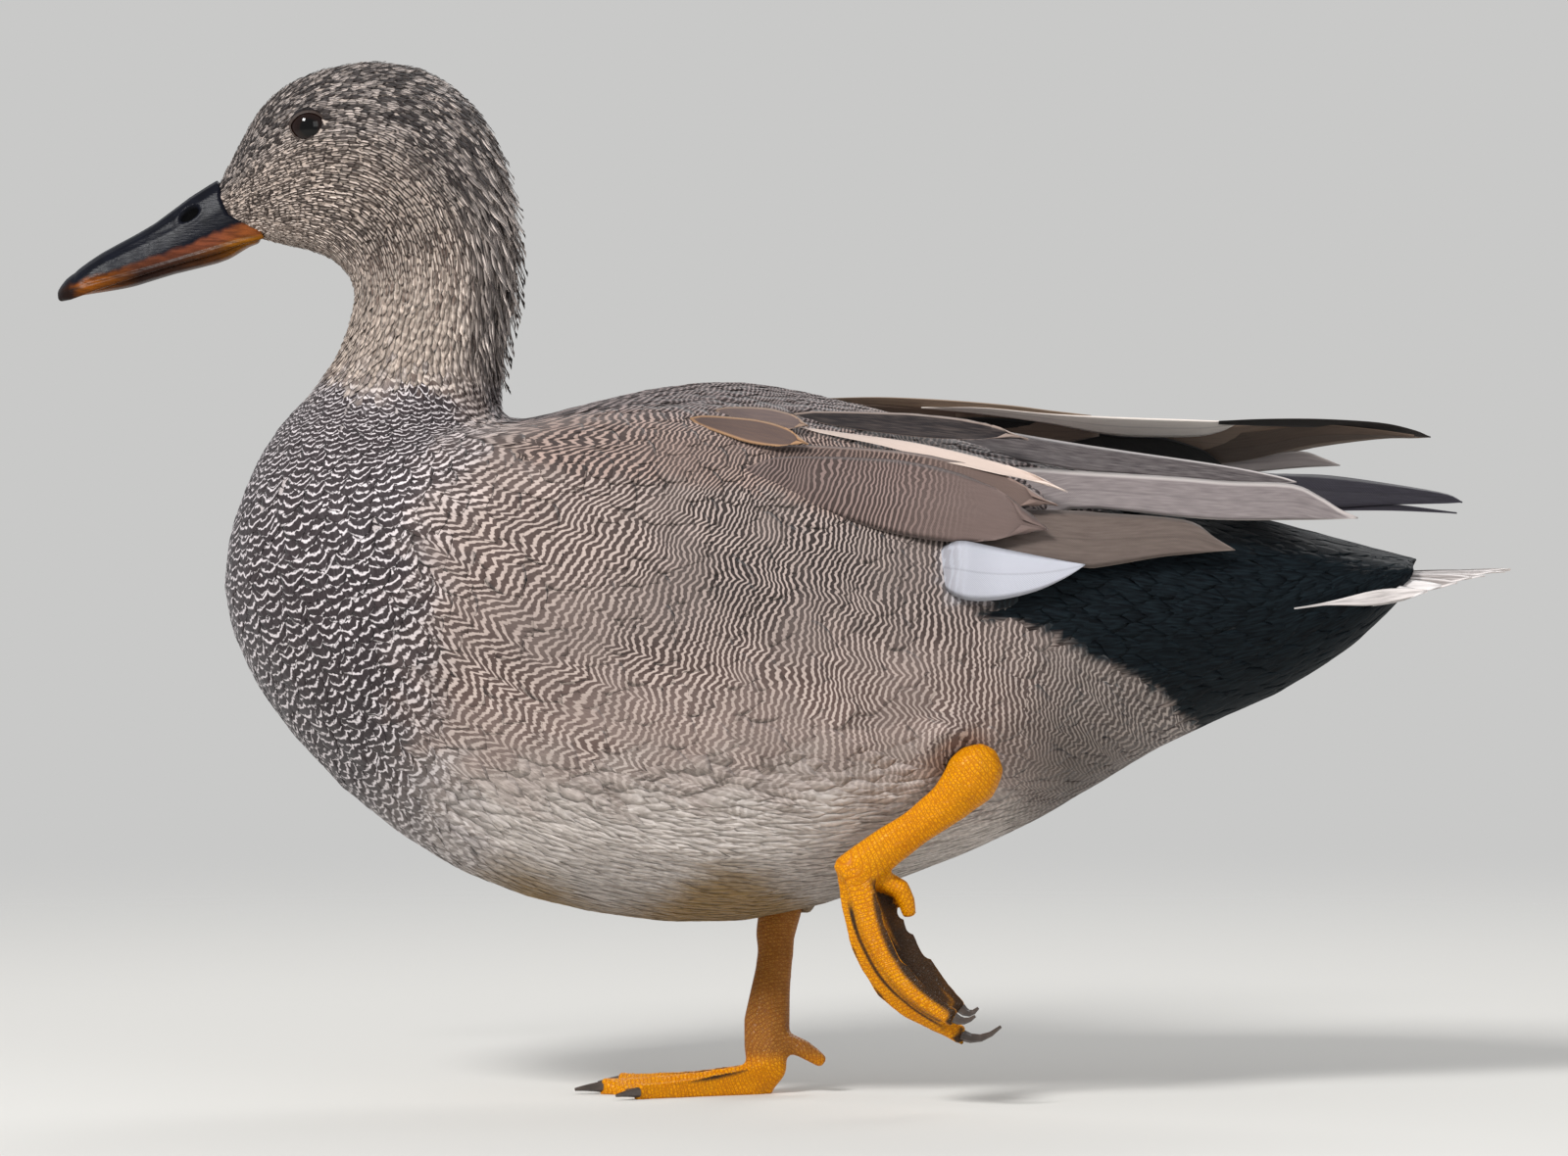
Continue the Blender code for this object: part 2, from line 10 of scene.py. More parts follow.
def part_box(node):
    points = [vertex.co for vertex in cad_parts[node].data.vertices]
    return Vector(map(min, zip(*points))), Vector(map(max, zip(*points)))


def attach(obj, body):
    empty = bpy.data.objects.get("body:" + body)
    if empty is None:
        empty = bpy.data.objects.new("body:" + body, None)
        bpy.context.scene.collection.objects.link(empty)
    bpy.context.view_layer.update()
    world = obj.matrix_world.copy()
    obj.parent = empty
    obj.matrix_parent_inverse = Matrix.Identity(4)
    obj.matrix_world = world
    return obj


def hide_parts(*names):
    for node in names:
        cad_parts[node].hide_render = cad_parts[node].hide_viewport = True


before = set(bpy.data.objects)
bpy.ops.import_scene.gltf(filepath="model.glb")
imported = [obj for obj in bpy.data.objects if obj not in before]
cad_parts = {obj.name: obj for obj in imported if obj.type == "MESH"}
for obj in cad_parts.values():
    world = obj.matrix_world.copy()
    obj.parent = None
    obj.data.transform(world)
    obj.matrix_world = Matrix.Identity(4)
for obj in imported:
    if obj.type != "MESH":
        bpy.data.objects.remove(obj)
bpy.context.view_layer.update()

# A drake gadwall, life size, standing on its right foot. It faces -X and its left side faces -Y.
# Metres throughout, apart from the feather coordinates that materials read, which are in millimetres.
mm = 0.001


# small tools

def linear(hexCode):
    parts = [int(hexCode[i : i + 2], 16) / 255 for i in (1, 3, 5)]
    return [p / 12.92 if p <= 0.04045 else ((p + 0.055) / 1.055) ** 2.4 for p in parts]


def colour(hexCode):
    return (*linear(hexCode), 1.0)


# gives a node its inputs by place or name, each a value or another node's output
def feed(made, ins):
    for key, value in ins.items() if isinstance(ins, dict) else enumerate(ins):
        if isinstance(value, bpy.types.NodeSocket):
            made.id_data.links.new(value, made.inputs[key])
        elif value is not None:
            made.inputs[key].default_value = value


# adds a node with its settings and links, and returns one of its outputs
def node(tree, kind, ins=(), operation=None, out=0, **settings):
    made = tree.nodes.new("ShaderNode" + kind)
    if operation:
        made.operation = operation
    for name, value in settings.items():
        setattr(made, name, value)
    feed(made, ins)
    return made.outputs[out]


# a MapRange's inputs by place are its value, its low and high, and what they become; a Mix of colours has its
# share at 0 and the two colours at 6 and 7
inColour = {"out": 2, "data_type": "RGBA"}


# a new material, what adds nodes to it, and its shader
def newMaterial(name):
    made = bpy.data.materials.new(name)
    made.use_nodes = True
    return made, partial(node, made.node_tree), made.node_tree.nodes["Principled BSDF"]


def smoothStep(low, high, value):
    t = np.clip((np.asarray(value, float) - low) / (high - low), 0, 1)
    return t * t * (3 - 2 * t)


def unit(vectors):
    return vectors / np.maximum(np.linalg.norm(vectors, axis=-1, keepdims=True), 1e-12)


# a smooth curve through rows of numbers, read at places from 0 to the last row
def through(rows, at):
    rows = np.asarray(rows, float)
    last = len(rows) - 1
    at = np.clip(np.asarray(at, float), 0, last)
    low = np.minimum(at.astype(int), last - 1)
    part = (at - low)[..., None]
    first = np.where((low > 0)[..., None], rows[np.maximum(low - 1, 0)], 2 * rows[low] - rows[low + 1])
    beyond = np.where(
        (low < last - 1)[..., None], rows[np.minimum(low + 2, last)], 2 * rows[low + 1] - rows[low]
    )
    start, end = rows[low], rows[low + 1]
    leanIn, leanOut = (end - first) / 2, (beyond - start) / 2
    return (
        (2 * part**3 - 3 * part**2 + 1) * start
        + (part**3 - 2 * part**2 + part) * leanIn
        + (3 * part**2 - 2 * part**3) * end
        + (part**3 - part**2) * leanOut
    )


def addMesh(name, points, faces, material, smooth=True):
    sizes = np.array([len(face) for face in faces], np.int32)
    corners = np.concatenate([np.asarray(face, np.int32) for face in faces])
    return fillMesh(name, points, corners, sizes, material, smooth)


# the same from its faces' corners in one row, and how many each face has
def fillMesh(name, points, corners, sizes, material, smooth):
    mesh = bpy.data.meshes.new(name)
    mesh.vertices.add(len(points))
    mesh.vertices.foreach_set("co", np.asarray(points, np.float32).ravel())
    mesh.loops.add(len(corners))
    mesh.loops.foreach_set("vertex_index", np.asarray(corners, np.int32))
    mesh.polygons.add(len(sizes))
    starts = np.concatenate([[0], np.cumsum(sizes)[:-1]]).astype(np.int32)
    mesh.polygons.foreach_set("loop_start", starts)
    mesh.polygons.foreach_set("loop_total", np.asarray(sizes, np.int32))
    mesh.update(calc_edges=True)
    mesh.polygons.foreach_set("use_smooth", np.full(len(sizes), smooth))
    mesh.validate()
    mesh.materials.append(material)
    thing = bpy.data.objects.new(name, mesh)
    bpy.context.scene.collection.objects.link(thing)
    return thing


def setAttribute(thing, name, kind, values):
    data = thing.data.attributes.new(name, kind, "POINT")
    key = {"FLOAT": "value", "FLOAT_VECTOR": "vector", "FLOAT_COLOR": "color"}[kind]
    data.data.foreach_set(key, np.asarray(values, np.float32).ravel())


def asPiece(thing, slotName, *nodes):
    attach(thing, "root")
    if nodes:
        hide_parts(*nodes)
    return thing


def boxOf(name):
    return [np.array(corner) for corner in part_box(name)]


# a place in a CAD node's box, as fractions of its length, width and height
def inBox(name, along, across, up):
    low, high = boxOf(name)
    return low + (high - low) * (along, across, up)


def within(points, name):
    low, high = boxOf(name)
    return (points - low) / (high - low)


# the skin: one surface over all the fleshy parts, inside them by the coat's depth

fleshNodes = ["head", "neck", "trunk", "rump", "wing_left", "wing_right", "thigh_left", "thigh_right"]
skinLook = {
    "voxel": 0.0016,
    "smoothing": 10,
    "faceDepth": 0.0007,  # the coat's depth, from the feather tips in to the skin
    "neckDepth": 0.0011,
    "bodyDepth": 0.0005,
    "inBill": 0.45,  # how slim its core inside the bill is
    "specks": 900.0,  # per metre, on the head
    # painted shade: the skin lies deeper than the coat, so it is painted darker
    "shade": (0.62, 0.60, 0.58, 1),  # it lies deeper than the coat, and is darker
    "roughness": 0.85,
}

# the line that the coat grows along: from the bill's root over the head, down the neck and back
spineRows = [
    inBox(name, along, 0.5, up)
    for name, along, up in (
        ("head", 0.06, 0.48), ("head", 0.45, 0.62), ("head", 0.72, 0.32),
        ("neck", 0.55, 0.55), ("neck", 0.50, 0.05),
        ("trunk", 0.22, 0.78), ("trunk", 0.34, 0.58), ("trunk", 0.55, 0.50), ("trunk", 0.78, 0.54),
        ("rump", 0.30, 0.45), ("rump", 1.05, 0.80),
    )
]
spineLook = {
    "steps": 120,
    "falloff": 2.5,  # how strongly the nearest of it leads
    "batch": 20000,  # points worked out at a time, to keep memory low
}
spine = through(spineRows, np.linspace(0, len(spineRows) - 1, spineLook["steps"]))
spineTangents = unit(np.gradient(spine, axis=0))
spineLengths = np.concatenate([[0], np.cumsum(np.linalg.norm(np.diff(spine, axis=0), axis=1))])


def spinePlace(place):
    return spineLengths[np.argmin(np.abs(spine - place).sum(axis=1))]


# which way the feathers lie at each point, how far along the spine it is, its angle round the spine, 0 on the
# back, and how far round that is
def lieOfCoat(points):
    points = np.asarray(points, float)
    lie, (along, angle, around) = np.empty((len(points), 3)), np.empty((3, len(points)))
    for start in range(0, len(points), spineLook["batch"]):
        now = slice(start, start + spineLook["batch"])
        part = points[now]
        away = part[:, None] - spine[None]
        weight = 1 / (np.einsum("ijk,ijk->ij", away, away) + 1e-7) ** spineLook["falloff"]
        weight /= weight.sum(axis=1, keepdims=True)
        lie[now] = unit(weight @ spineTangents)
        along[now] = weight @ spineLengths
        tangent, side = lie[now], part - weight @ spine
        up = np.column_stack([-tangent[:, 2], np.zeros(len(part)), tangent[:, 0]])
        angle[now] = np.arctan2(side[:, 1], np.einsum("ij,ij->i", side, up))
        around[now] = angle[now] * np.linalg.norm(side, axis=1)
    return lie, along, angle, around


def coatDepth(points):
    _, along, _, _ = lieOfCoat(points)
    headEnd = spineLengths[np.argmin(np.abs(spine[:, 2] - boxOf("neck")[1][2] + 0.010))]
    neckEnd = spinePlace(inBox("neck", 0.5, 0.5, 0.0))
    face, neck, body = (skinLook[key] for key in ("faceDepth", "neckDepth", "bodyDepth"))
    depth = face + (neck - face) * smoothStep(0.02, headEnd, along)
    return depth + (body - neck) * smoothStep(neckEnd - 0.01, neckEnd + 0.02, along)


def arraysOf(mesh):
    mesh.calc_loop_triangles()
    points = np.empty(len(mesh.vertices) * 3, np.float32)
    mesh.vertices.foreach_get("co", points)
    faces = np.empty(len(mesh.loop_triangles) * 3, np.int32)
    mesh.loop_triangles.foreach_get("vertices", faces)
    return points.reshape(-1, 3), faces.reshape(-1, 3)


# the CAD nodes' own triangles, as one mesh
def gather(names):
    points, faces, count = [], [], 0
    for name in names:
        nodePoints, nodeFaces = arraysOf(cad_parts[name].data)
        points.append(nodePoints)
        faces.append(nodeFaces + count)
        count += len(nodePoints)
    return np.concatenate(points), np.concatenate(faces)


def treeOf(points, faces):
    return BVHTree.FromPolygons(points.tolist(), faces.tolist(), all_triangles=True)


# each triangle's normal, as long as twice its area
def crossOf(points, faces):
    a, b, c = (points[faces[:, k]] for k in range(3))
    return np.cross(b - a, c - a)


def vertexNormals(points, faces):
    cross = crossOf(points, faces)
    normals = np.zeros_like(points)
    for k in range(3):
        np.add.at(normals, faces[:, k], cross)
    return unit(normals)


def modify(thing, kind, **settings):
    made = thing.modifiers.new(kind.lower(), kind)
    for key, value in settings.items():
        setattr(made, key, value)


# joins solids and remeshes them to one smooth skin: swell closes gaps between them, and settle takes it back
def fuse(name, nodeNames, voxel, smoothing, material, swell=0.0, settle=0.0):
    points, faces = gather(nodeNames)
    rough = addMesh(name + "Rough", points, list(faces), material)
    remesh = partial(modify, rough, "REMESH", mode="VOXEL", voxel_size=voxel, adaptivity=0)
    remesh()
    if swell:
        modify(rough, "DISPLACE", strength=swell, mid_level=0)
        remesh()
    modify(rough, "SMOOTH", factor=0.5, iterations=smoothing)
    if settle:
        modify(rough, "DISPLACE", strength=-settle, mid_level=0)
    shown = rough.evaluated_get(bpy.context.evaluated_depsgraph_get())
    points, faces = arraysOf(shown.to_mesh())
    shown.to_mesh_clear()
    bpy.data.objects.remove(rough, do_unlink=True)
    return points.astype(float), faces


# the skin as a surface to stand feathers on: nearest place and a smooth normal there
class Surface:
    def __init__(self, points, faces):
        self.points, self.faces = points, faces
        self.normals = vertexNormals(points, faces)
        self.tree = treeOf(points, faces)
        self.areas = np.linalg.norm(crossOf(points, faces), axis=1) / 2

    def nearest(self, places):
        found, index = np.empty((len(places), 3)), np.empty(len(places), int)
        search = self.tree.find_nearest
        for i, place in enumerate(places.tolist()):
            hit = search(place)
            found[i], index[i] = hit[0], hit[2]
        return found, self.normalAt(found, index)

    def normalAt(self, places, index):
        a, b, c = (self.points[self.faces[index, k]] for k in range(3))
        v0, v1, v2 = b - a, c - a, places - a
        d00, d01, d11 = (v0 * v0).sum(1), (v0 * v1).sum(1), (v1 * v1).sum(1)
        d20, d21 = (v2 * v0).sum(1), (v2 * v1).sum(1)
        scale = np.maximum(d00 * d11 - d01 * d01, 1e-20)
        second, third = (d11 * d20 - d01 * d21) / scale, (d00 * d21 - d01 * d20) / scale
        weights = np.clip(np.column_stack([1 - second - third, second, third]), 0, 1)
        return unit(sum(weights[:, k : k + 1] * self.normals[self.faces[index, k]] for k in range(3)))

    def scatter(self, count, rng, share):
        chance = self.areas * share
        index = rng.choice(len(self.faces), count, p=chance / chance.sum())
        first, second = rng.random(count), rng.random(count)
        over = first + second > 1
        first[over], second[over] = 1 - first[over], 1 - second[over]
        a, b, c = (self.points[self.faces[index, k]] for k in range(3))
        places = a + (b - a) * first[:, None] + (c - a) * second[:, None]
        return places, self.normalAt(places, index)


# the pattern that runs over the whole coat: fine wavy bars that meet in chevrons pointing to the tail

barLook = {
    "period": (1.16, 0.30),  # mm from bar to bar at the breast, and how much closer they are behind
    "closes": (0.13, 0.29),  # where along the spine that changes, in metres
    "column": 12.0,  # mm from one line of chevrons to the next
    "depth": 2.5,
    "columnWander": 8.0,
    "bend": 5.2,
    "bendScale": 0.055,  # per mm
    "ripple": 2.1,
    "rippleScale": (0.15, 0.72, 1.0),
    "faint": (0.38, 0.60),  # a slow noise between these makes the chevrons from faint to strong
    "faintScale": 0.04,
    "least": 0.10,  # how much of a chevron is left where they're faintest
    "most": 1.1,
}


# a distance along the body in which the bars are even
def barPlace(along):
    at = np.linspace(0, 0.4, 81)
    widest, closer = barLook["period"]
    period = widest - closer * smoothStep(*barLook["closes"], at)
    return np.interp(along, at, np.cumsum(1 / period) * (at[1] - at[0])) / mm


# s and t are a place's distances along and round the body, and period the bars' spacing, all in mm
def barWave(add, s, t, period, shift):
    look = barLook
    flat = add("CombineXYZ", [s, t, 0.0])
    swirl = add("TexNoise", {"Vector": flat, "Scale": look["bendScale"], "Detail": 1.0})
    crinkled = add("Mapping", {"Vector": flat, "Scale": look["rippleScale"]})
    ripple = add("TexNoise", {"Vector": crinkled, "Scale": 1.0, "Detail": 1.0})
    across = add("Math", [swirl, look["columnWander"], t], "MULTIPLY_ADD")
    arch = add("Math", [add("Math", [across, math.pi / look["column"]], "MULTIPLY")], "SINE")
    elsewhere = add("CombineXYZ", [s, t, 31.0])
    strong = add("TexNoise", {"Vector": elsewhere, "Scale": look["faintScale"], "Detail": 0.0})
    (low, high), least, most = look["faint"], look["least"], look["most"]
    strong = add("MapRange", [strong, low, high, least, most])
    arch = add("Math", [add("Math", [arch], "ABSOLUTE"), strong], "MULTIPLY")
    place = s
    for part, strength in ((arch, look["depth"]), (swirl, look["bend"]), (ripple, look["ripple"])):
        place = add("Math", [part, strength, place], "MULTIPLY_ADD")
    turns = add("Math", [add("Math", [place, shift], "ADD"), period], "DIVIDE")
    return add("Math", [add("Math", [turns, math.tau], "MULTIPLY")], "COSINE")


# the skin wears the same markings, so that nothing plain shows between two feathers
def skinFinish():
    made, add, shader = newMaterial("featheredSkin")  # down and feather bases: dull and soft, with no gloss
    s, t, even = add("SeparateXYZ", [add("Attribute", attribute_name="place", out="Vector")]).node.outputs
    marks = add("Attribute", attribute_name="marks", out="Color")
    period, contrast, flecked = add("SeparateColor", [marks]).node.outputs
    wave = barWave(add, s, t, period, 0.0)
    line = add("MapRange", [wave, -0.4, 0.7])
    share = add("Mix", [contrast, None, even, line])
    speck = add(
        "TexNoise", {"Vector": add("TexCoord", out="Object"), "Scale": skinLook["specks"], "Detail": 1.0}
    )
    speck = add("MapRange", [speck, 0.44, 0.56])
    share = add("Mix", [flecked, None, share, speck])
    tone, pale = (add("Attribute", attribute_name=name, out="Color") for name in ("tone", "pale"))
    hue = add("Mix", {0: share, 6: tone, 7: pale}, **inColour)
    # painted shade: the skin's markings are darkened for lying under the coat
    dim = add("Mix", {0: 1.0, 6: hue, 7: skinLook["shade"]}, blend_type="MULTIPLY", **inColour)
    feed(shader, {"Base Color": dim, "Roughness": skinLook["roughness"]})
    return made


skinMaterial = skinFinish()
solidNodes = fleshNodes + ["eye_left", "eye_right", "bill_upper"]  # it backs the eyes and the bill's root too
skinPoints, skinFaces = fuse("skin", solidNodes, skinLook["voxel"], skinLook["smoothing"], skinMaterial)
outerSurface = Surface(skinPoints, skinFaces)
skinPoints = skinPoints - outerSurface.normals * coatDepth(skinPoints)[:, None]
inBill = skinPoints[:, 0] < inBox("bill_upper", 0.80, 0, 0)[0]
core = np.polyfit(skinPoints[inBill, 0], skinPoints[inBill, 2], 2)
slim = (1 - skinLook["inBill"]) * (1 - smoothStep(0.62, 0.80, within(skinPoints, "bill_upper")[:, 0]))
skinPoints[:, 1] *= 1 - slim
skinPoints[:, 2] += (np.polyval(core, skinPoints[:, 0]) - skinPoints[:, 2]) * slim
skinSurface = Surface(skinPoints, skinFaces)
print("skin", len(skinFaces), "triangles")


# markings: what each place on the body looks like, shared by the skin and the coat

# 1 between low and high, and 0 outside
def band(low, high, soft, value):
    return smoothStep(low - soft, low + soft, value) * (1 - smoothStep(high - soft, high + soft, value))


plumage = {  # sRGB, dark and pale of each region's pattern
    "face": ("#33261f", "#dccabd"),
    "crown": ("#261e1d", "#dccdc4"),
    "nape": ("#2b2322", "#d6c8bf"),
    "throat": ("#6b574c", "#d9c9bc"),
    "neck": ("#5c483f", "#dccbbc"),
    "breast": ("#2f2628", "#e2d9da"),
    "mantle": ("#2b2222", "#a39491"),
    "scapular": ("#382c29", "#b1998e"),
    "flank": ("#2a201d", "#b1a098"),
    "belly": ("#87796f", "#d6cdc6"),
    "vent": ("#423632", "#b0a39b"),
    "stern": ("#080c10", "#1c262b"),
    "stain": ("#6d5330", "#93784c"),
    "flushed": ("#64504a", "#cbb9af"),
    "whitened": ("#6f686a", "#d8d9e0"),
    # painted shade under the vent, not a colour of its own
    "shade": ("#3a302a", "#73675f"),
}

# edges in side view, in metres up from the floor and back from the bird's middle
edges = {
    "stern": np.array([  # heights, and how far back its front edge is there
        (0.060, 0.104), (0.084, 0.099), (0.092, 0.0930), (0.0975, 0.0870), (0.1025, 0.0775), (0.1085, 0.0665),
        (0.1130, 0.0560), (0.1155, 0.0470), (0.1200, 0.0530), (0.1270, 0.0610), (0.1400, 0.0760),
    ]),
    "scapular": np.array([  # how far back, and how high its lower edge is there
        (-0.062, 0.1500), (-0.036, 0.1465), (-0.005, 0.1437), (0.0127, 0.1375), (0.040, 0.1340),
        (0.090, 0.130),
    ]),
}
# and from where to where one region gives way to the next: around is an angle round the spine from the back
givesWay = {
    "bodyUp": (0.163, 0.172), "bodyBack": (-0.060, -0.052), "headAlong": 0.012,
    "crownAround": (0.55, 1.35), "crownAlong": (0.040, 0.062),
    "napeAround": (0.6, 1.3), "throatAround": (2.0, 2.7),
    "breastUpper": (0.13, 0.165), "breastLower": (0.05, 0.09),
    "mantleUp": (0.1535, 0.1600), "mantleBack": (0.008, 0.03), "mantleAround": (0.60, 0.85),
    "backFrom": (0.03, 0.05), "backAround": (0.8, 1.1), "scapularBack": (-0.066, -0.056),
    "bellyRise": (0.02, 0.07), "bellyFall": (-0.085, -0.112), "bellyBack": (0.050, 0.072),
    "ventBack": (0.045, 0.070), "ventUp": (0.104, 0.118),
    "stainUp": (0.043, 0.055), "stainBack": (-0.075, 0.020),
}
# where it ends, and how much further back it does higher up and lower down
breastEdge = (-0.084, 0.012, 0.010)
bellyEdge = (0.083, 0.012, 0.020)  # how high it is, and how much lower behind and at the front


# how much of a region is left at a value, and how much of one is there
def fades(name, value):
    return 1 - smoothStep(*givesWay[name], value)


def begins(name, value):
    return smoothStep(*givesWay[name], value)


# each region's share of a place, and how stained it is
def regionsAt(points, along, angle):
    x, _, z = points.T
    headEnd = spinePlace(inBox("neck", 0.5, 0.5, 0.75))
    around = np.abs(angle)
    wobble = 0.0022 * np.sin(x * 310 + 2 * np.sin(z * 190)) * np.sin(z * 270 + 1.3)
    onBody = np.maximum(fades("bodyUp", z + wobble), begins("bodyBack", x))
    blend = givesWay["headAlong"]
    onNeck = smoothStep(headEnd - blend, headEnd + blend, along) * (1 - onBody)
    onHead = 1 - onBody - onNeck
    crown = onHead * fades("crownAround", around) * fades("crownAlong", along)
    nape = (onHead * begins("crownAlong", along) + onNeck) * fades("napeAround", around)
    throat = onHead * begins("throatAround", around)
    face = np.clip(onHead - crown - nape * onHead - throat, 0, 1)
    neck = np.clip(onNeck - nape * onNeck, 0, 1)
    stern = smoothStep(-0.0010, 0.0010, x + wobble - np.interp(z, *edges["stern"].T))
    breastEnd, further, lower = breastEdge
    breastEnd = breastEnd + further * begins("breastUpper", z) + lower * fades("breastLower", z)
    breast = 1 - smoothStep(breastEnd - 0.011, breastEnd + 0.013, x + 2 * wobble)
    mantle = begins("mantleUp", z) * fades("mantleBack", x) * fades("mantleAround", around)
    mantle = mantle + begins("backFrom", x) * fades("backAround", around)
    scapular = smoothStep(-0.0015, 0.0015, z - np.interp(x, *edges["scapular"].T)) * begins("scapularBack", x)
    bellyTop, behind, ahead = bellyEdge
    bellyTop = bellyTop - behind * begins("bellyRise", x) - ahead * begins("bellyFall", x)
    belly = (1 - smoothStep(bellyTop - 0.018, bellyTop + 0.012, z + 2 * wobble)) * fades("bellyBack", x)
    vent = begins("ventBack", x) * fades("ventUp", z)
    stain = fades("stainUp", z + 0.006 * np.sin(x * 120)) * band(*givesWay["stainBack"], 0.02, x)
    left, shares = onBody.copy(), {}
    wanted = {
        "belly": belly * (1 - 0.8 * breast), "breast": breast, "mantle": mantle, "scapular": scapular,
        "vent": vent,
    }
    for name, value in wanted.items():
        shares[name] = np.minimum(onBody * value, left)
        left = left - shares[name]
    shares["flank"] = left
    shares.update({"face": face, "crown": crown, "nape": nape, "throat": throat, "neck": neck})
    total = sum(shares.values())
    for name in shares:
        shares[name] = shares[name] / np.maximum(total, 1e-6) * (1 - stern)
    shares["stern"] = stern
    return shares, stain


# dark and pale tones there: warmer low on the flank, stained under the belly, a dark streak behind the eye,
# and painted shade low on the belly and under the vent
def tonesAt(points, shares, stain):
    x, z = points[:, 0], points[:, 2]
    flush = shares["flank"] * np.maximum(
        1 - smoothStep(0.085, 0.125, z), 0.5 - 0.5 * smoothStep(-0.055, -0.01, x)
    )
    byWhite = shares["flank"] * smoothStep(0.0345, 0.0405, x) * band(0.1185, 0.1310, 0.0015, z)
    eye = eyeMiddles[0]
    streak = band(eye[0] + 0.006, eye[0] + 0.030, 0.003, x) * np.exp(-(((z - eye[2] + 0.0008) / 0.0018) ** 2))
    # painted shade: the belly is darker low down, and the vent is darker underneath
    low = shares["belly"] * (1 - smoothStep(0.040, 0.062, z))
    under = shares["vent"] * (1 - smoothStep(0.078, 0.100, z + 0.25 * (x - 0.06)))
    over = (
        ("stain", stain * shares["belly"]), ("flushed", flush), ("crown", 0.8 * streak),
        ("shade", 0.85 * under), ("whitened", byWhite),
    )
    tones = []
    for k in (0, 1):
        tone = sum(shares[name][:, None] * np.array(linear(plumage[name][k])) for name in shares)
        tone = tone * (1 - 0.35 * low)[:, None]
        for name, share in over:
            tone = tone + share[:, None] * (np.array(linear(plumage[name][k])) - tone)
        tones.append(tone)
    return tones


# the coat: closed vanes in rows over one another

# each kind's shape over its length: how wide it is at a place from 0, the root, to 1, the tip
def vaneWidth(place, fullest, sharp):
    rise = np.minimum(1, place / fullest) ** 0.45
    fall = np.clip((place - fullest) / (1 - fullest), 0, 1)
    return rise * np.maximum(1 - fall**2.2, 0) ** sharp


# how a vane's points join: a grid above, and below it a keel under the middle column
def vaneFaces(rows, columns):
    faces, keel = [], rows * columns
    for i in range(rows - 1):
        left, leftNext = i * columns, (i + 1) * columns
        right, rightNext = left + columns - 1, leftNext + columns - 1
        faces += [(left + j, leftNext + j, leftNext + j + 1, left + j + 1) for j in range(columns - 1)]
        faces += [(left, keel + i, keel + i + 1, leftNext), (keel + i, right, rightNext, keel + i + 1)]
    last = (rows - 1) * columns
    faces.append((*range(columns), keel))
    faces.append((*range(last + columns - 1, last - 1, -1), keel + rows - 1))
    return faces


# what each point of a body vane looks like, so that regions meet as finely on the coat as on the skin
def looksAlong(upper, along, angle, coat):
    grid = upper.shape[:3]

    def spread(values):
        return np.repeat(values, grid[1] * grid[2], axis=0)

    places = upper.reshape(-1, 3) + spread(coat["stray"])
    shares, stain = regionsAt(places, along, angle)
    dark, pale = tonesAt(places, shares, stain)
    marks = marksAt(shares)
    marks[:, 0] = spread(coat["marks"][:, 0])
    shade = spread(coat["shade"])
    made = {"dark": dark * shade, "pale": pale * shade, "barred": marks[:, 1:2], "even": marks[:, 5:]}
    made["marks"] = marks[:, [0, 2, 3, 4]]
    return {key: values.reshape(*grid, -1) for key, values in made.items()}


# makes one piece of many closed vanes from their upper grids, and gives it what the feather material reads
def vanePiece(name, material, upper, under, coat, local, rims, slotName):
    count, rows, columns = upper.shape[:3]
    middle = columns // 2
    points = np.concatenate([upper.reshape(count, -1, 3), under], axis=1)
    perVane = points.shape[1]
    faces = vaneFaces(rows, columns)
    corners = np.concatenate([np.asarray(f) for f in faces])
    corners = (corners[None, :] + perVane * np.arange(count)[:, None]).ravel()
    sizes = np.tile([len(f) for f in faces], count)
    # the underside is flat shaded, so that its edge doesn't darken the face above
    smooth = np.tile(([True] * (columns - 1) + [False] * 2) * (rows - 1) + [False] * 2, count)
    thing = fillMesh(name, points.reshape(-1, 3), corners, sizes, material, smooth)

    def withKeel(grid):
        return np.concatenate([grid.reshape(count, rows * columns, -1), grid[:, :, middle]], axis=1)

    # spreads what is known for each vane, or for each point of its upper face, over all its points
    def each(values):
        values = np.asarray(values, np.float32)
        if values.ndim > 2:
            return withKeel(values)
        return np.repeat(values.reshape(count, 1, -1), perVane, axis=1)

    tall = np.broadcast_to(np.linspace(0, 1, rows)[None, :, None, None], (count, rows, columns, 1))
    marks = each(coat["marks"]).copy()
    fade = each(coat["fade"])
    marks[..., 1] *= 1 - smoothStep(
        0, 1, (withKeel(tall)[..., 0] - fade[..., 0]) / np.maximum(fade[..., 1], 0.01)
    )
    _, along, angle, around = lieOfCoat(upper.reshape(-1, 3))
    if "stray" in coat:
        coat = {**coat, **looksAlong(upper, along, angle, coat)}
    shift = (each(coat["seed"])[..., 0] - 0.5) * 0.35
    place = withKeel(np.stack([barPlace(along), around / mm], axis=1).reshape(count, rows, columns, 2))
    ones = np.ones((count, perVane, 1), np.float32)
    setAttribute(thing, "vane", "FLOAT_VECTOR", withKeel(local))
    setAttribute(thing, "rims", "FLOAT_VECTOR", withKeel(rims))
    setAttribute(thing, "place", "FLOAT_VECTOR", np.concatenate([place, shift[..., None]], axis=2))
    setAttribute(
        thing, "tone", "FLOAT_COLOR", np.concatenate([each(coat["dark"]), each(coat["barred"])], axis=2)
    )
    setAttribute(thing, "pale", "FLOAT_COLOR", np.concatenate([each(coat["pale"]), ones], axis=2))
    setAttribute(thing, "marks", "FLOAT_COLOR", marks)
    setAttribute(thing, "fringe", "FLOAT_VECTOR", each(coat["fringe"]))
    traits = np.column_stack([coat["seed"], coat["half"] / mm / coat["scale"]])
    setAttribute(thing, "traits", "FLOAT_VECTOR", np.concatenate([each(traits), each(coat["even"])], axis=2))
    bakePlaces(thing, coat, rows, columns)
    return asPiece(thing, slotName)


